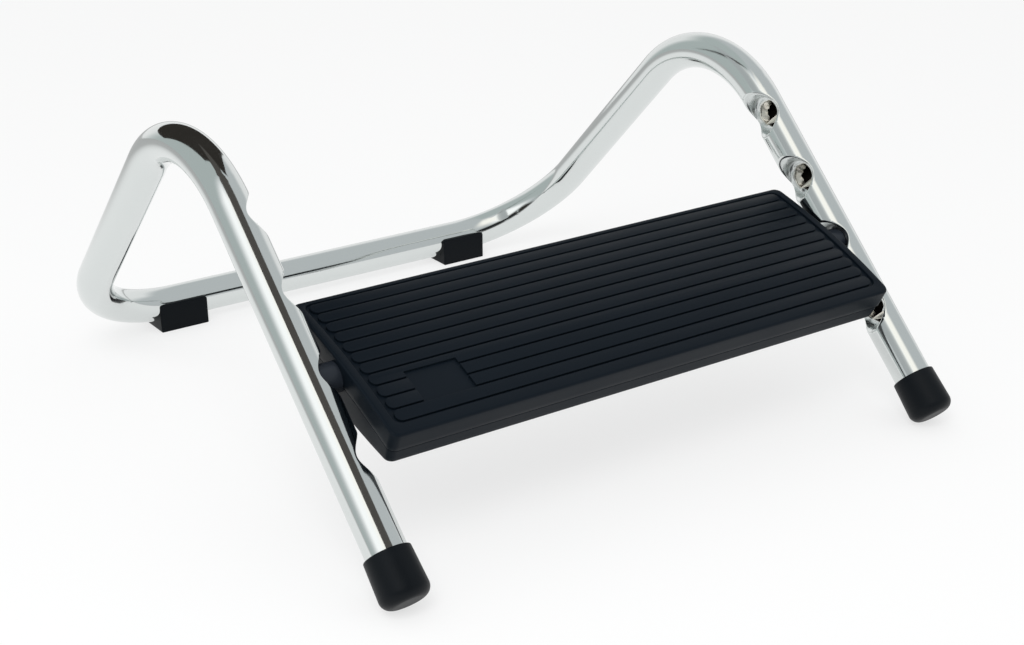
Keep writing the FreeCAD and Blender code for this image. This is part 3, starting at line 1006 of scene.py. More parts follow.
LONG_STEPS = 60
END_STEPS = 16
CORNER_STEPS = 8
CAP_STEPS = 12


def plan_loop(half, front, rear, corner):
    """A rounded rectangle of (across, forward), always with as many points."""
    corner = max(min(corner, (front + rear) / 2, half), 0)
    places = [(across, front) for across in spread(-(half - corner), half - corner, LONG_STEPS)]
    places += arc((half - corner, front - corner), corner, 90, 0, CORNER_STEPS)[1:]
    places += [(half, forward) for forward in spread(front - corner, corner - rear, END_STEPS)[1:]]
    places += arc((half - corner, corner - rear), corner, 0, -90, CORNER_STEPS)[1:]
    places += [(across, -rear) for across in spread(half - corner, corner - half, LONG_STEPS)[1:]]
    places += arc((corner - half, corner - rear), corner, -90, -180, CORNER_STEPS)[1:]
    places += [(-half, forward) for forward in spread(corner - rear, front - corner, END_STEPS)[1:]]
    places += arc((corner - half, front - corner), corner, 180, 90, CORNER_STEPS)[1:-1]
    return places


def crowned(tread, places, depth):
    """Places in plan as points below the crown. Depth is a number, or a function of forward."""
    depth_at = depth if callable(depth) else lambda forward: depth
    return [crown_point(tread, across, forward, depth_at(forward)) for across, forward in places]


def tread_loop(tread, half_length, inset, depth):
    """A loop on the tread's outer wall, or set in from it."""
    level = depth(0) if callable(depth) else depth
    half = half_length - level * math.tan(tread.end_draft) - inset
    loop = plan_loop(half, tread.front - inset, tread.rear - inset, tread.corner - inset / 2)
    return crowned(tread, loop, depth)


def cap_loops(tread, half, front, rear, corner, depth):
    """Loops that close the inside of a rounded rectangle, down to a line in its middle."""
    width = (front + rear) / 2
    return [
        crowned(tread, plan_loop(half - inset, front - inset, rear - inset, corner - inset / 2), depth)
        for inset in spread(0, width, CAP_STEPS)[1:]
    ]


def tread_half_length(settings):
    return inner_face_x(settings.tube) - settings.tread.side_gap


# Operators


# The two sides' sockets are creased and torn unevenly, each in its own way
RIGHT_SEED, LEFT_SEED = 0, 11


class FOOTREST_OT_tube(bpy.types.Operator):
    """Bend the tube and press its sockets"""

    bl_idname = "footrest.tube"
    bl_label = "Tube"

    def execute(self, context):
        settings = context.scene.footrest
        path = TubePath(settings.tube, settings.sockets)
        builder = bmesh.new()
        for name in ("inside", "stretched"):
            builder.verts.layers.float.new(name)
        for side, seed in ((1, RIGHT_SEED), (-1, LEFT_SEED)):
            add_tube_side(builder, path, settings.sockets, settings.tips, side, seed)
        piece = finish_mesh("chromed_tube", builder)
        round_normals(piece.data, path)
        piece.data.materials.append(chrome_plate(settings.finishes))
        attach(piece, "frame")
        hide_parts("frame_tube_left", "frame_tube_right")
        return {"FINISHED"}


def tip_profile(tip, tube):
    """A tip's outline as (along the leg, radius), from its sole round its rim into its bore."""
    start = tip_start(tip, tube)
    rim = start + tip.length
    bore = tube.radius + tip.fit
    floor = start + tip.floor
    chamfer = 0.2 * MM
    flat, rounding = tip.radius - tip.corner, tip.rim_rounding
    # the sole has one ring inside its flat
    profile = [(start, 0), (start, flat * 0.6)]
    for end, centre, radius, turns, steps in (
        (start, (tip.corner, flat), tip.corner, (180, 90), 12),
        (rim, (-rounding, tip.rim_radius - rounding), rounding, (90, 0), 5),
    ):
        profile += [(end + along, out) for along, out in arc(centre, radius, *turns, steps)]
    return profile + [(rim, bore + chamfer), (rim - chamfer, bore), (floor, bore), (floor, 0)]


class FOOTREST_OT_tips(bpy.types.Operator):
    """Mould the rubber tips"""

    bl_idname = "footrest.tips"
    bl_label = "Tips"

    def execute(self, context):
        settings = context.scene.footrest
        path = TubePath(settings.tube, settings.sockets)
        profile = tip_profile(settings.tips, settings.tube)
        rubber = tip_rubber(settings.finishes)
        for name, side in (("tip_left", -1), ("tip_right", 1)):
            builder = bmesh.new()
            foot = mirrored_points([path.foot], side)[0]
            lathe(builder, profile, foot, path.leg, ACROSS, 96)
            piece = finish_mesh("rubber_" + name, builder)
            piece.data.materials.append(rubber)
            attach(piece, "frame")
            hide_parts(name)
        return {"FINISHED"}


def rounding_at(radius, into_end):
    """How far a rounded end is still set in, at a distance into it."""
    short = max(radius - into_end, 0)
    return radius - math.sqrt(max(radius ** 2 - short ** 2, 0))


def glide_section(glide, path, x, into_end):
    """A glide's outline at a place along the bar, as (back, up) from the bar's centre line."""
    tube = path.tube
    front, rear = -(tube.radius + glide.wall), tube.radius + glide.wall
    foot_end = front + glide.foot
    rise = rear - foot_end
    bore = tube.radius + glide.fit
    edge = glide.edge
    top = glide.wrap - rounding_at(glide.corner, into_end)
    inset = rounding_at(edge, into_end)
    foot = inset - tube.bar_height
    # the tube has begun to bend at the glide's outer end, and its seat follows it
    bend_start = path.side_x - tube.corner_bend * math.tan(path.rear.angle(-ACROSS) / 2)
    past = max(x - bend_start, 0)
    shift = tube.corner_bend - math.sqrt(tube.corner_bend ** 2 - past ** 2)
    seat_y, seat_z = path.rear.y * -shift, path.rear.z * -shift
    reach = math.asin(min((top - seat_z) / bore, 1))
    section = arc((front + inset + edge / 2, foot + edge / 2), edge / 2, 180, 270, 3)
    section += [(foot_end, foot)]
    section += arc((foot_end, rise + foot), rise - inset, -90, 0, 8)[1:]
    section += arc((rear - inset - edge, top - edge), edge, 0, 90, 4)
    for turn in spread(reach, -HALF_TURN - reach, 28):
        section.append((seat_y + bore * math.cos(turn), seat_z + bore * math.sin(turn)))
    return section + arc((front + inset + edge, top - edge), edge, 90, 180, 4)


class FOOTREST_OT_glides(bpy.types.Operator):
    """Mould the glides under the rear bar"""

    bl_idname = "footrest.glides"
    bl_label = "Glides"

    def execute(self, context):
        settings = context.scene.footrest
        glide = settings.glides
        path = TubePath(settings.tube, settings.sockets)
        middle = path.bar_middle
        plastic = glide_polypropylene(settings.finishes)
        first = glide.spacing / 2 - glide.length / 2
        last = first + glide.length
        into = [glide.corner * (1 - math.cos(math.radians(turn))) for turn in range(0, 91, 15)]
        xs = [first + x for x in into]
        xs += spread(first + glide.corner, last - glide.corner, 8)[1:-1]
        xs += [last - x for x in reversed(into)]
        for name, side in (("glide_left", -1), ("glide_right", 1)):
            builder = bmesh.new()
            rings = []
            for x in xs:
                section = glide_section(glide, path, x, min(x - first, last - x))
                ring = [Vector((x * side, middle.y + y, middle.z + z)) for y, z in section]
                rings.append(add_ring(builder, ring))
            bridge_all(builder, rings)
            builder.faces.new(rings[0])
            builder.faces.new(rings[-1])
            piece = finish_mesh("plastic_" + name, builder)
            piece.data.materials.append(plastic)
            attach(piece, "frame")
            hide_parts(name)
        return {"FINISHED"}


class FOOTREST_OT_cover(bpy.types.Operator):
    """Mould the tread's cover with its sunken field"""

    bl_idname = "footrest.cover"
    bl_label = "Tread cover"

    def execute(self, context):
        settings = context.scene.footrest
        tread, strips = settings.tread, settings.strips
        half_length = tread_half_length(settings)
        edge, seam = tread.edge, tread.seam
        # the sunken field's half length, its reach to the front and the rear, and its corners
        field = (
            half_length - strips.end_margin + strips.end_gap,
            strips.front_line + strips.gap / 2,
            strips.pitch * strips.count + strips.gap / 2 - strips.front_line,
            (strips.pitch - strips.gap) / 2 + strips.end_gap / 2,
        )
        lip = 0.25 * MM
        loops = cap_loops(tread, *field, strips.depth)[::-1]
        for grow, depth in [(0, strips.depth)] + arc((lip, lip), lip, 180, 270, 3):
            loops.append(crowned(tread, plan_loop(*[size + grow for size in field]), depth))
        profile = arc((edge, edge), edge, 270, 180, 8)
        profile += [(0, depth) for depth in spread(edge, tread.skirt - seam, 4)[1:]]
        profile += arc((seam, tread.skirt - seam), seam, 180, 90, 3)[1:]
        roof = strips.depth + tread.wall
        halfway = tread.skirt * 0.66
        profile += [(tread.wall, depth) for depth in (tread.skirt, halfway, roof)]
        loops += [tread_loop(tread, half_length, inset, depth) for inset, depth in profile]
        loops += cap_loops(
            tread, half_length - roof * math.tan(tread.end_draft) - tread.wall,
            tread.front - tread.wall, tread.rear - tread.wall, tread.corner - tread.wall / 2, roof,
        )
        builder = bmesh.new()
        bridge_all(builder, [add_ring(builder, loop) for loop in loops])
        piece = finish_mesh("tread_cover_shell", builder)
        piece.data.transform(tread_matrix(tread))
        piece.data.materials.append(tread_abs(settings.finishes))
        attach(piece, "tread")
        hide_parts("tread_cover")
        return {"FINISHED"}


def strip_tree():
    """Strips set out along the crown, cut away where the bare pad is."""
    tree, given = new_geometry_tree("footrest_strips", {
        "Int": ["Count"],
        "Float": ["Pitch", "Width", "Length", "Height", "First Line", "Crown Radius", "Top Height",
                  "End Radius"],
        "Vector": ["Pad Size", "Pad Place"],
        "Material": ["Material"],
    })
    outline = add_node(
        tree, "GeometryNodeCurvePrimitiveQuadrilateral",
        {"Width": given["Length"], "Height": given["Width"]},
    )
    rounded = add_node(
        tree, "GeometryNodeFilletCurve",
        {"Curve": outline, "Count": 7, "Radius": given["End Radius"]}, mode="POLY",
    )
    bottom = add_node(tree, "GeometryNodeFillCurve", {"Curve": rounded}, mode="NGONS")
    rise = add_node(tree, "ShaderNodeCombineXYZ", {"Z": given["Height"]})
    raised = add_node(
        tree, "GeometryNodeExtrudeMesh",
        {"Mesh": bottom, "Offset": rise, "Offset Scale": 1.0, "Individual": False}, mode="FACES",
    )
    turned = add_node(tree, "GeometryNodeFlipFaces", {"Mesh": bottom})
    both = add_node(tree, "GeometryNodeJoinGeometry", (raised,))
    tree.links.new(turned.outputs[0], both.inputs[0])
    closed = add_node(tree, "GeometryNodeMergeByDistance", {"Geometry": both, "Distance": TINY})
    sunk = add_node(tree, "ShaderNodeVectorMath", {0: rise, "Scale": -1.0}, operation="SCALE")
    strip = add_node(tree, "GeometryNodeTransform", {"Geometry": closed, "Translation": sunk})

    # where each strip sits on the crown, worked out from its number
    number = add_node(tree, "GeometryNodeInputIndex")
    middle = add_node(tree, "ShaderNodeMath", (number, 0.5), operation="ADD")
    back = add_node(tree, "ShaderNodeMath", (middle, given["Pitch"]), operation="MULTIPLY")
    forward = add_node(tree, "ShaderNodeMath", (given["First Line"], back), operation="SUBTRACT")
    radius = given["Crown Radius"]
    turn = add_node(tree, "ShaderNodeMath", (forward, radius), operation="DIVIDE")
    sine = add_node(tree, "ShaderNodeMath", (turn,), operation="SINE")
    cosine = add_node(tree, "ShaderNodeMath", (turn,), operation="COSINE")
    along = add_node(tree, "ShaderNodeMath", (sine, radius), operation="MULTIPLY")
    along = add_node(tree, "ShaderNodeMath", (along, -1.0), operation="MULTIPLY")
    drop = add_node(tree, "ShaderNodeMath", (cosine, 1.0), operation="SUBTRACT")
    drop = add_node(tree, "ShaderNodeMath", (drop, radius), operation="MULTIPLY")
    height = add_node(tree, "ShaderNodeMath", (drop, given["Top Height"]), operation="ADD")
    place = add_node(tree, "ShaderNodeCombineXYZ", {"Y": along, "Z": height})
    lean = add_node(tree, "ShaderNodeCombineXYZ", {"X": turn})
    points = add_node(tree, "GeometryNodePoints", {"Count": given["Count"], "Position": place})
    # the turn is kept as an attribute, because the points are counted again when they are instanced
    kept = add_node(
        tree, "GeometryNodeStoreNamedAttribute", {"Geometry": points, "Name": "lean", "Value": lean},
        data_type="FLOAT_VECTOR", domain="POINT",
    )
    stored = add_node(
        tree, "GeometryNodeInputNamedAttribute", {"Name": "lean"}, data_type="FLOAT_VECTOR"
    )
    placed = add_node(
        tree, "GeometryNodeInstanceOnPoints", {"Points": kept, "Instance": strip, "Rotation": stored}
    )
    real = add_node(tree, "GeometryNodeRealizeInstances", {"Geometry": placed})

    pad = add_node(tree, "GeometryNodeMeshCube", {"Size": given["Pad Size"]})
    pad = add_node(
        tree, "GeometryNodeTransform", {"Geometry": pad, "Translation": given["Pad Place"]}
    )
    cut = add_node(
        tree, "GeometryNodeMeshBoolean", {"Mesh 1": real, "Mesh 2": pad}, operation="DIFFERENCE"
    )
    return finished_geometry_tree(tree, given, cut)


# How round a strip's ends are, as a share of a full half circle
STRIP_END_SHARE = 0.92


class FOOTREST_OT_strips(bpy.types.Operator):
    """Set the raised strips on the tread"""

    bl_idname = "footrest.strips"
    bl_label = "Tread strips"

    def execute(self, context):
        settings = context.scene.footrest
        tread, strips = settings.tread, settings.strips
        sunk = 0.2 * MM
        pad_cutter_height = 12 * MM
        width = strips.pitch - strips.gap
        pad_length, pad_width = strips.pad_far - strips.pad_near, strips.pad_front - strips.pad_rear
        pad_middle = (strips.pad_front + strips.pad_rear) / 2
        values = {
            "Count": strips.count, "Pitch": strips.pitch, "Width": width,
            "Length": 2 * (tread_half_length(settings) - strips.end_margin),
            "Height": strips.depth + sunk, "First Line": strips.front_line,
            "Crown Radius": tread.crown_radius, "Top Height": tread.top_height,
            "End Radius": width / 2 * STRIP_END_SHARE,
            "Pad Size": (pad_length, pad_width, pad_cutter_height),
            "Pad Place": (-(strips.pad_near + strips.pad_far) / 2, -pad_middle, tread.top_height),
            "Material": tread_abs(settings.finishes),
        }
        piece = piece_by_nodes("tread_strips", strip_tree(), values)
        piece.data.transform(tread_matrix(tread))
        bevel = piece.modifiers.new("Rounded edges", "BEVEL")
        bevel.width = strips.edge
        bevel.segments = 3
        bevel.limit_method = "ANGLE"
        bevel.angle_limit = math.radians(45)
        applied(piece)
        shade(piece.data, CUT_SHARP_ANGLE)
        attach(piece, "tread")
        return {"FINISHED"}


# How far the posts reach above a screw's seat, and stop short of the belly's face
POST_RISE = 3 * MM
POST_SKIN = 1.2 * MM
# Where the wells' cutters start, below the whole tread
BELOW_TREAD = -40 * MM
# The rounding inside the base's lower edge
INNER_ROUNDING = 2 * MM


def screw_places(screws):
    rows = (-screws.front_row, screws.rear_row)
    return [
        Vector((across, along, -screws.seat_drop))
        for across in (-screws.spacing, 0, screws.spacing) for along in rows
    ]


def belly_bottom(tread, along):
    """How far the belly lies below the pivot axis, at a distance behind it."""
    return math.sqrt(tread.belly_radius ** 2 - along ** 2) - tread.belly_radius + tread.belly_depth


def shell_loops(tread, half_length, set_in, rounding, start):
    """Loops from the parting line down the wall, round the edge and over the belly.

    All of them are set in by as much from the tread's outer faces."""

    def belly(forward):
        return belly_depth_at(tread, forward, set_in)

    def on_wall(share):
        return lambda forward: start + (belly(forward) - rounding - start) * share

    def on_edge(turn):
        return lambda forward: belly(forward) - rounding * (1 - math.sin(turn))

    loops = [tread_loop(tread, half_length, set_in, on_wall(share)) for share in (0.0, 0.35, 0.7, 1.0)]
    for turn in spread(0, HALF_TURN / 2, 6)[1:]:
        inset = set_in + rounding * (1 - math.cos(turn))
        loops.append(tread_loop(tread, half_length, inset, on_edge(turn)))
    inner = set_in + rounding
    half = half_length - belly(0) * math.tan(tread.end_draft) - inner
    return loops + cap_loops(
        tread, half, tread.front - inner, tread.rear - inner, tread.corner - inner / 2, belly
    )


class FOOTREST_OT_base(bpy.types.Operator):
    """Mould the tread's base with its wells"""

    bl_idname = "footrest.base"
    bl_label = "Tread base"

    def execute(self, context):
        settings = context.scene.footrest
        tread, screws = settings.tread, settings.screws
        half_length = tread_half_length(settings)
        step, seam = tread.step, tread.seam
        gap_end = tread.skirt + tread.seam_gap
        outside = shell_loops(tread, half_length, step, tread.belly_rounding, gap_end + seam)
        inside = shell_loops(tread, half_length, step + tread.wall, INNER_ROUNDING, tread.skirt)
        rim = [
            tread_loop(tread, half_length, inset, depth)
            for inset, depth in (
                (step + seam, gap_end), (tread.seam_depth, gap_end), (tread.seam_depth, tread.skirt)
            )
        ]
        builder = bmesh.new()
        bridge_all(builder, [add_ring(builder, loop) for loop in outside[::-1] + rim + inside])
        piece = finish_mesh("tread_base_shell", builder)
        posts, wells = bmesh.new(), bmesh.new()
        for place in screw_places(screws):
            post_foot = POST_SKIN - belly_bottom(tread, place.y)
            for builder, radius, low, high in (
                (posts, screws.post_radius, post_foot, place.z + POST_RISE),
                (wells, screws.well_radius, BELOW_TREAD, place.z),
            ):
                profile = [(low, 0), (low, radius), (high, radius), (high, 0)]
                lathe(builder, profile, Vector((place.x, place.y, 0)), UP, ACROSS, 40)
        tools = {"UNION": finish_mesh("posts", posts), "DIFFERENCE": finish_mesh("wells", wells)}
        for operation, tool in tools.items():
            modifier = piece.modifiers.new(operation, "BOOLEAN")
            modifier.operation = operation
            modifier.object = tool
            modifier.solver = "EXACT"
        applied(piece)
        for tool in tools.values():
            bpy.data.objects.remove(tool)
        shade(piece.data, CUT_SHARP_ANGLE)
        piece.data.transform(tread_matrix(tread))
        piece.data.materials.clear()
        piece.data.materials.append(tread_abs(settings.finishes))
        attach(piece, "tread")
        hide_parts("tread_base")
        return {"FINISHED"}


def plug_profile(settings):
    """A plug's outline as (outwards, radius): its body in the tread, its shoulder and its pin."""
    plug, sockets = settings.plugs, settings.sockets
    socket_floor = inner_face_x(settings.tube) + sockets.depth
    start = tread_half_length(settings) - plug.inner_length
    shoulder = socket_floor - plug.end_play
    end = socket_floor + sockets.collar + plug.pin_overhang
    pin = sockets.hole_radius - plug.pin_clearance
    rounding, tip = plug.rounding, plug.pin_rounding
    profile = [(start, 0), (start, plug.radius)]
    profile += arc((shoulder - rounding, plug.radius - rounding), rounding, 90, 0, 6)
    profile += [(shoulder, pin), (end - tip, pin)]
    profile += arc((end - tip, pin - tip), tip, 90, 0, 5)[1:]
    return profile + [(end, 0)]


class FOOTREST_OT_plugs(bpy.types.Operator):
    """Mould the pivot plugs"""

    bl_idname = "footrest.plugs"
    bl_label = "Pivot plugs"

    def execute(self, context):
        settings = context.scene.footrest
        profile = plug_profile(settings)
        plastic = plug_acetal(settings.finishes)
        for name, side in (("pivot_plug_left", -1), ("pivot_plug_right", 1)):
            builder = bmesh.new()
            lathe(builder, profile, Vector((0, 0, 0)), ACROSS * side, UP, 96)
            piece = finish_mesh("acetal_" + name, builder)
            piece.data.transform(tread_matrix(settings.tread))
            piece.data.materials.append(plastic)
            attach(piece, "tread")
            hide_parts(name)
        return {"FINISHED"}


# How far up its own length a screw's shank has its middle, so that it starts inside the head
SHANK_MIDDLE = 0.45


def screw_tree():
    """Cross-recessed screws at the points of a small grid, their heads down."""
    tree, given = new_geometry_tree("footrest_screws", {
        "Float": ["Across", "Rows", "Head Radius", "Head Height", "Shank Radius", "Shank Length"],
        "Vector": ["Place", "Long Arm", "Short Arm"],
        "Material": ["Material"],
    })

    def raised(geometry, measure, share):
        """Moves a geometry up by a share of a measure."""
        rise = add_node(tree, "ShaderNodeMath", (given[measure], share), operation="MULTIPLY")
        place = add_node(tree, "ShaderNodeCombineXYZ", {"Z": rise})
        return add_node(tree, "GeometryNodeTransform", {"Geometry": geometry, "Translation": place})

    head = add_node(
        tree, "GeometryNodeMeshCylinder",
        {"Vertices": 32, "Radius": given["Head Radius"], "Depth": given["Head Height"]},
    )
    head = raised(head, "Head Height", -0.5)
    cut = add_node(tree, "GeometryNodeMeshBoolean", {"Mesh 1": head}, operation="DIFFERENCE")
    for size in ("Long Arm", "Short Arm"):
        arm = add_node(tree, "GeometryNodeMeshCube", {"Size": given[size]})
        tree.links.new(raised(arm, "Head Height", -1.0).outputs[0], cut.inputs["Mesh 2"])
    shank = add_node(
        tree, "GeometryNodeMeshCylinder",
        {"Vertices": 24, "Radius": given["Shank Radius"], "Depth": given["Shank Length"]},
    )
    whole = add_node(tree, "GeometryNodeMeshBoolean", {"Mesh 2": cut}, operation="UNION")
    shank = raised(shank, "Shank Length", SHANK_MIDDLE)
    tree.links.new(shank.outputs[0], whole.inputs["Mesh 2"])
    grid = add_node(
        tree, "GeometryNodeMeshGrid",
        {"Size X": given["Across"], "Size Y": given["Rows"], "Vertices X": 3, "Vertices Y": 2},
    )
    grid = add_node(tree, "GeometryNodeTransform", {"Geometry": grid, "Translation": given["Place"]})
    turned = add_node(
        tree, "FunctionNodeRandomValue", {2: 0.0, 3: FULL_TURN, "Seed": 4}, data_type="FLOAT"
    )
    spin = add_node(tree, "ShaderNodeCombineXYZ", {"Z": turned.outputs[1]})
    placed = add_node(
        tree, "GeometryNodeInstanceOnPoints", {"Points": grid, "Instance": whole, "Rotation": spin}
    )
    return finished_geometry_tree(tree, given, placed)


class FOOTREST_OT_screws(bpy.types.Operator):
    """Drive the screws into the tread's base"""

    bl_idname = "footrest.screws"
    bl_label = "Screws"

    def execute(self, context):
        settings = context.scene.footrest
        screws = settings.screws
        row_middle = (screws.rear_row - screws.front_row) / 2
        reach, width, depth = 2 * screws.cross_reach, screws.cross_width, 2 * screws.cross_depth
        values = {
            "Across": 2 * screws.spacing, "Rows": screws.front_row + screws.rear_row,
            "Place": (0, row_middle, -screws.seat_drop),
            "Head Radius": screws.head_radius, "Head Height": screws.head_height,
            "Shank Radius": screws.radius, "Shank Length": screws.length,
            "Long Arm": (reach, width, depth), "Short Arm": (width, reach, depth),
            "Material": zinc_plate(settings.finishes),
        }
        piece = piece_by_nodes("zinc_screws", screw_tree(), values)
        piece.data.transform(tread_matrix(settings.tread))
        shade(piece.data, CUT_SHARP_ANGLE)
        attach(piece, "tread")
        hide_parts("tread_screws")
        return {"FINISHED"}


# The stage


# What the chrome sees of the studio: its even tone, and patches that differ from it. A patch has
# its middle, half size and blur in degrees, then its colour and strength
STUDIO_TONE = ("#f6fbfd", 0.64)
STUDIO_PATCHES = (
    ((-30, 35), (45, 40), 25, "#ced7d6", 0.82),
    ((35, 8), (40, 16), 20, "#ffffff", 0.95),
    ((-126, 45), (18, 9), 32, "#ffffff", 1.3),
    ((-157, 60), (12, 3), 32, "#fffbf4", 1.3),
    ((-145, 11), (36, 5), 12, "#8a857c", 0.14),
)
# The leaning card's two long edges, by the turn from the leg's side and the distance from the
# leg, how far it goes below and above the leg's foot, and its tones
LEANING_EDGES = ((15, 0.11), (-19, 3.0))
LEANING_REACH = (0.3, 1.4)
LEANING_TONES = ("#54514e", "#b9bdbe")
# How its back turns white: from and to which share of the way out, and the white itself
WHITE_FROM, WHITE_TO = 0.05, 0.7
CARD_WHITE = (1.2, 1.19, 1.15, 1)
# The hanging card's corners, seen from the crown: azimuth, elevation and distance
HANGING_CORNERS = ((100, 66, 0.6), (-50, 62, 1.3), (-25, 8, 1.0), (58, 14, 0.18))
HANGING_TONE = "#33302d"


def shining(hex_colour, strength=1.0):
    """A hex colour at a strength, as a colour input takes it."""
    return (*[strength * value for value in linear(hex_colour)], 1)


def soft_patch(tree, azimuth, elevation, centre, half, blur):
    """How far a direction lies in a soft-edged patch of the studio, all in degrees."""
    masks = []
    for value, middle, reach in zip((azimuth, elevation), centre, half):
        offset = add_node(tree, "ShaderNodeMath", (value, math.radians(middle)), operation="SUBTRACT")
        offset = add_node(tree, "ShaderNodeMath", (offset, HALF_TURN, -HALF_TURN), operation="WRAP")
        offset = add_node(tree, "ShaderNodeMath", (offset,), operation="ABSOLUTE")
        masks.append(add_node(
            tree, "ShaderNodeMapRange",
            {"Value": offset, "From Min": math.radians(reach),
             "From Max": math.radians(reach + blur), "To Min": 1.0, "To Max": 0.0},
            interpolation_type="SMOOTHSTEP",
        ))
    return add_node(tree, "ShaderNodeMath", masks, operation="MULTIPLY")


def studio_world(stage):
    """Even white light, with soft boxes and darker parts of a studio for what reflects."""
    world = bpy.data.worlds.new("studio")
    world.use_nodes = True
    tree = world.node_tree
    tree.nodes.clear()
    direction = add_node(tree, "ShaderNodeTexCoord").outputs["Generated"]
    parts = add_node(tree, "ShaderNodeSeparateXYZ", (direction,)).outputs
    azimuth = add_node(tree, "ShaderNodeMath", (parts["X"], parts["Y"]), operation="ARCTAN2")
    elevation = add_node(tree, "ShaderNodeMath", (parts["Z"],), operation="ARCSINE")
    seen = shining(*STUDIO_TONE)
    for centre, half, blur, tint, strength in STUDIO_PATCHES:
        mask = soft_patch(tree, azimuth, elevation, centre, half, blur)
        seen = add_node(
            tree, "ShaderNodeMix", {"Factor": mask, "A": seen, "B": shining(tint, strength)},
            data_type="RGBA",
        ).outputs["Result"]
    even = add_node(
        tree, "ShaderNodeBackground", {"Color": (1, 1, 1, 1), "Strength": stage.daylight}
    )
    mirrored = add_node(tree, "ShaderNodeBackground", {"Color": seen})
    glossy = add_node(tree, "ShaderNodeLightPath").outputs["Is Glossy Ray"]
    both = add_node(tree, "ShaderNodeMixShader", (glossy, even, mirrored))
    add_node(tree, "ShaderNodeOutputWorld", {"Surface": both})
    return world


def floor_paint(stage, finishes):
    """Matt white paint. What the eye and the chrome see of it is lifted towards plain white.

    Far out it is dimmer in reflections, which draws a grey edge along the tube."""
    material, tree = new_material("floor_paint")
    paint = add_node(
        tree, "ShaderNodeBsdfPrincipled",
        {"Base Color": (*finishes.floor, 1), "Roughness": 0.9, "Specular IOR Level": 0.2},
    )
    rays = add_node(tree, "ShaderNodeLightPath").outputs
    place = add_node(tree, "ShaderNodeTexCoord").outputs["Object"]
    distance = add_node(tree, "ShaderNodeVectorMath", (place,), operation="LENGTH").outputs["Value"]
    dimming = add_node(
        tree, "ShaderNodeMapRange",
        {"Value": distance, "From Min": stage.dimming_start, "From Max": stage.dimming_end,
         "To Max": -stage.mirror_dimming},
        interpolation_type="SMOOTHSTEP",
    )
    level = add_node(
        tree, "ShaderNodeMath", (rays["Is Glossy Ray"], dimming, 1.0), operation="MULTIPLY_ADD"
    )
    glow = add_node(tree, "ShaderNodeEmission", {"Color": (1, 1, 1, 1), "Strength": level})
    direct = rays["Is Camera Ray"]
    for kind in ("Is Glossy Ray", "Is Transmission Ray"):
        direct = add_node(tree, "ShaderNodeMath", (direct, rays[kind]), operation="MAXIMUM")
    share = add_node(tree, "ShaderNodeMath", (direct, stage.floor_glow), operation="MULTIPLY")
    mixed = add_node(tree, "ShaderNodeMixShader", (share, paint, glow))
    add_node(tree, "ShaderNodeOutputMaterial", {"Surface": mixed})
    return material


def add_floor(stage, finishes):
    half = stage.floor_side / 2
    builder = bmesh.new()
    corners = [(-half, -half, 0), (half, -half, 0), (half, half, 0), (-half, half, 0)]
    builder.faces.new(add_ring(builder, corners))
    floor = finish_mesh("floor", builder)
    floor.data.materials.append(floor_paint(stage, finishes))
    return floor


def new_card(name, corners, front, back=None):
    """A flat card that only reflections see, plain on its front.

    Its back is clear, or has a tone that turns white towards the second and third corner."""
    builder = bmesh.new()
    builder.verts.layers.float.new("out")
    ring = add_ring(builder, corners)
    builder.faces.new(ring)
    mark(builder, "out", ring[1:3])
    card = mesh_object(name, builder)
    card.visible_camera = card.visible_diffuse = card.visible_shadow = False
    card.visible_transmission = card.visible_volume_scatter = False
    material, tree = new_material(name)
    fore = add_node(tree, "ShaderNodeEmission", {"Color": shining(front)})
    if back:
        out = add_node(tree, "ShaderNodeAttribute", attribute_name="out").outputs["Fac"]
        share = add_node(
            tree, "ShaderNodeMapRange", {"Value": out, "From Min": WHITE_FROM, "From Max": WHITE_TO},
            interpolation_type="SMOOTHSTEP",
        )
        tone = add_node(
            tree, "ShaderNodeMix", {"Factor": share, "A": shining(back), "B": CARD_WHITE},
            data_type="RGBA",
        )
        behind = add_node(tree, "ShaderNodeEmission", {"Color": tone.outputs["Result"]})
    else:
        behind = add_node(tree, "ShaderNodeBsdfTransparent")
    facing = add_node(tree, "ShaderNodeNewGeometry").outputs["Backfacing"]
    mixed = add_node(tree, "ShaderNodeMixShader", (facing, fore, behind))
    add_node(tree, "ShaderNodeOutputMaterial", {"Surface": mixed})
    card.data.materials.append(material)
    return card


def towards(azimuth, elevation, distance):
    azimuth, elevation = math.radians(azimuth), math.radians(elevation)
    level = Vector((math.sin(azimuth), math.cos(azimuth), 0)) * math.cos(elevation)
    return (level + UP * math.sin(elevation)) * distance


def studio_cards(path):
    """Cards that the two sides of the tube see differently, as they do in the photo.

    One leans over the left leg, dark towards it and grey towards the right leg. The other hangs
    over the left side's crown."""
    foot, crown = mirrored_points((path.foot, path.crown_top), -1)
    near, far = (
        ACROSS * (math.sin(math.radians(turn)) * distance)
        + path.leg_side * (math.cos(math.radians(turn)) * distance)
        for turn, distance in LEANING_EDGES
    )
    start = foot - path.leg * LEANING_REACH[0]
    end = foot + path.leg * LEANING_REACH[1]
    corners = [start + near, start + far, end + far, end + near]
    leaning = new_card("leaning_card", corners, *LEANING_TONES)
    corners = [crown + towards(*corner) for corner in HANGING_CORNERS]
    return leaning, new_card("hanging_card", corners, HANGING_TONE)


def add_lamp(stage):
    light = bpy.data.lights.new("soft_lamp", "AREA")
    light.energy = stage.lamp_power
    light.size = stage.lamp_side
    lamp = new_object("soft_lamp", light)
    place = Vector(stage.lamp_place)
    lamp.matrix_world = Matrix.Translation(place) @ place.to_track_quat("Z", "Y").to_matrix().to_4x4()
    lamp.visible_glossy = False


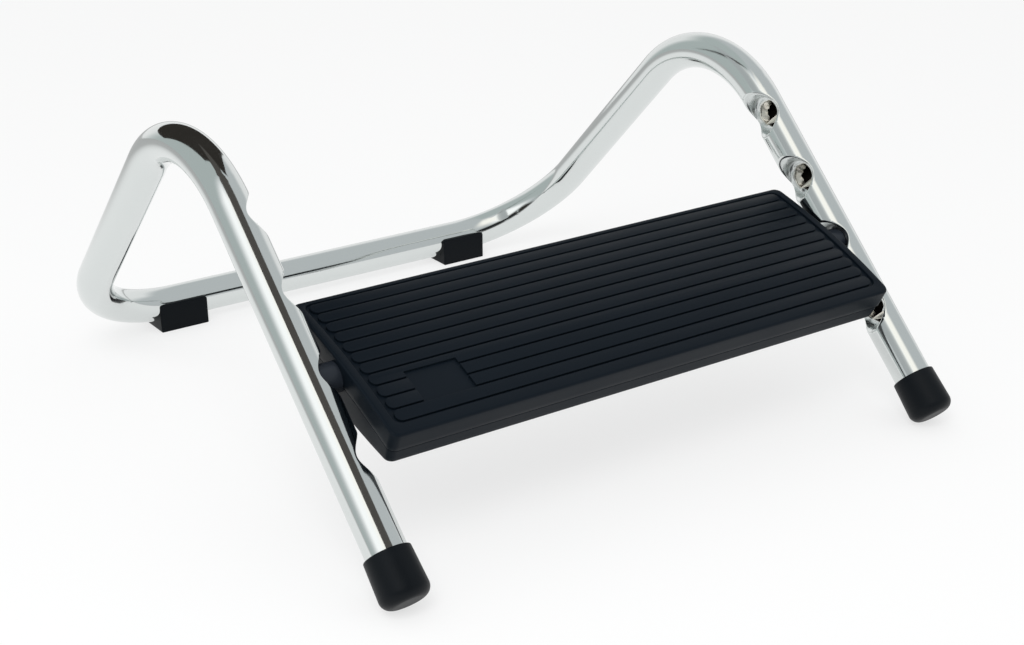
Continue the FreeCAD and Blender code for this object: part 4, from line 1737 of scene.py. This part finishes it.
def add_camera(stage):
    """A camera that looks along the stage's azimuth and elevation, and leans by its roll."""
    sine, cosine = math.sin, math.cos
    look = Vector((
        sine(stage.azimuth) * cosine(stage.elevation),
        cosine(stage.azimuth) * cosine(stage.elevation),
        -sine(stage.elevation),
    ))
    right = Vector((cosine(stage.azimuth), -sine(stage.azimuth), 0))
    down = look.cross(right)
    level = right * cosine(stage.roll) + down * sine(stage.roll)
    lean = down * cosine(stage.roll) - right * sine(stage.roll)
    camera = new_object("camera", bpy.data.cameras.new("camera"))
    camera.data.lens = stage.lens
    camera.data.shift_x = stage.shift_x
    camera.data.shift_y = stage.shift_y
    camera.data.clip_start = 10 * MM
    camera.data.clip_end = 50.0
    turn = Matrix((level, -lean, -look)).transposed()
    camera.matrix_world = Matrix.Translation(Vector(stage.camera)) @ turn.to_4x4()
    return camera


class FOOTREST_OT_stage(bpy.types.Operator):
    """Lay the floor and set up the light and the camera"""

    bl_idname = "footrest.stage"
    bl_label = "Stage"

    def execute(self, context):
        settings = context.scene.footrest
        floor = add_floor(settings.stage, settings.finishes)
        context.scene.world = studio_world(settings.stage)
        for card in studio_cards(TubePath(settings.tube, settings.sockets)):
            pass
        add_lamp(settings.stage)
        context.scene.camera = add_camera(settings.stage)
        context.scene.view_settings.view_transform = "Standard"
        return {"FINISHED"}


class FootrestSettings(bpy.types.PropertyGroup):
    """All the sizes and finishes of the footrest."""

    tube: PointerProperty(name="Tube", description="Sizes of the tube", type=FootrestTubeSizes)
    sockets: PointerProperty(name="Sockets", description="Sizes of the sockets", type=FootrestSocketSizes)
    tips: PointerProperty(name="Tips", description="Sizes of the tips", type=FootrestTipSizes)
    glides: PointerProperty(name="Glides", description="Sizes of the glides", type=FootrestGlideSizes)
    tread: PointerProperty(name="Tread", description="Sizes of the tread", type=FootrestTreadSizes)
    strips: PointerProperty(name="Strips", description="Sizes of the strips", type=FootrestStripSizes)
    plugs: PointerProperty(name="Plugs", description="Sizes of the plugs", type=FootrestPlugSizes)
    screws: PointerProperty(name="Screws", description="Sizes of the screws", type=FootrestScrewSizes)
    finishes: PointerProperty(name="Finishes", description="Colours", type=FootrestFinishes)
    stage: PointerProperty(name="Stage", description="Camera, floor and light", type=FootrestStageSizes)


GROUPS = (
    FootrestTubeSizes, FootrestSocketSizes, FootrestTipSizes, FootrestGlideSizes,
    FootrestTreadSizes, FootrestStripSizes, FootrestPlugSizes, FootrestScrewSizes,
    FootrestFinishes, FootrestStageSizes, FootrestSettings,
)
OPERATORS = (
    FOOTREST_OT_tube, FOOTREST_OT_tips, FOOTREST_OT_glides, FOOTREST_OT_cover,
    FOOTREST_OT_strips, FOOTREST_OT_base, FOOTREST_OT_plugs, FOOTREST_OT_screws,
    FOOTREST_OT_stage,
)


class FOOTREST_PT_panel(bpy.types.Panel):
    """The footrest's pieces, in the order they are made"""

    bl_idname = "FOOTREST_PT_panel"
    bl_label = "Footrest"
    bl_space_type = "VIEW_3D"
    bl_region_type = "UI"
    bl_category = "Footrest"

    def draw(self, context):
        for operator in OPERATORS:
            self.layout.operator(operator.bl_idname)


def register():
    for kind in GROUPS + OPERATORS + (FOOTREST_PT_panel,):
        bpy.utils.register_class(kind)
    bpy.types.Scene.footrest = PointerProperty(type=FootrestSettings)


def unregister():
    del bpy.types.Scene.footrest
    for kind in reversed(GROUPS + OPERATORS + (FOOTREST_PT_panel,)):
        bpy.utils.unregister_class(kind)


def main():
    register()
    for operator in OPERATORS:
        group, name = operator.bl_idname.split(".")
        getattr(getattr(bpy.ops, group), name)()
    bpy.context.view_layer.update()


if __name__ == "__main__":
    main()
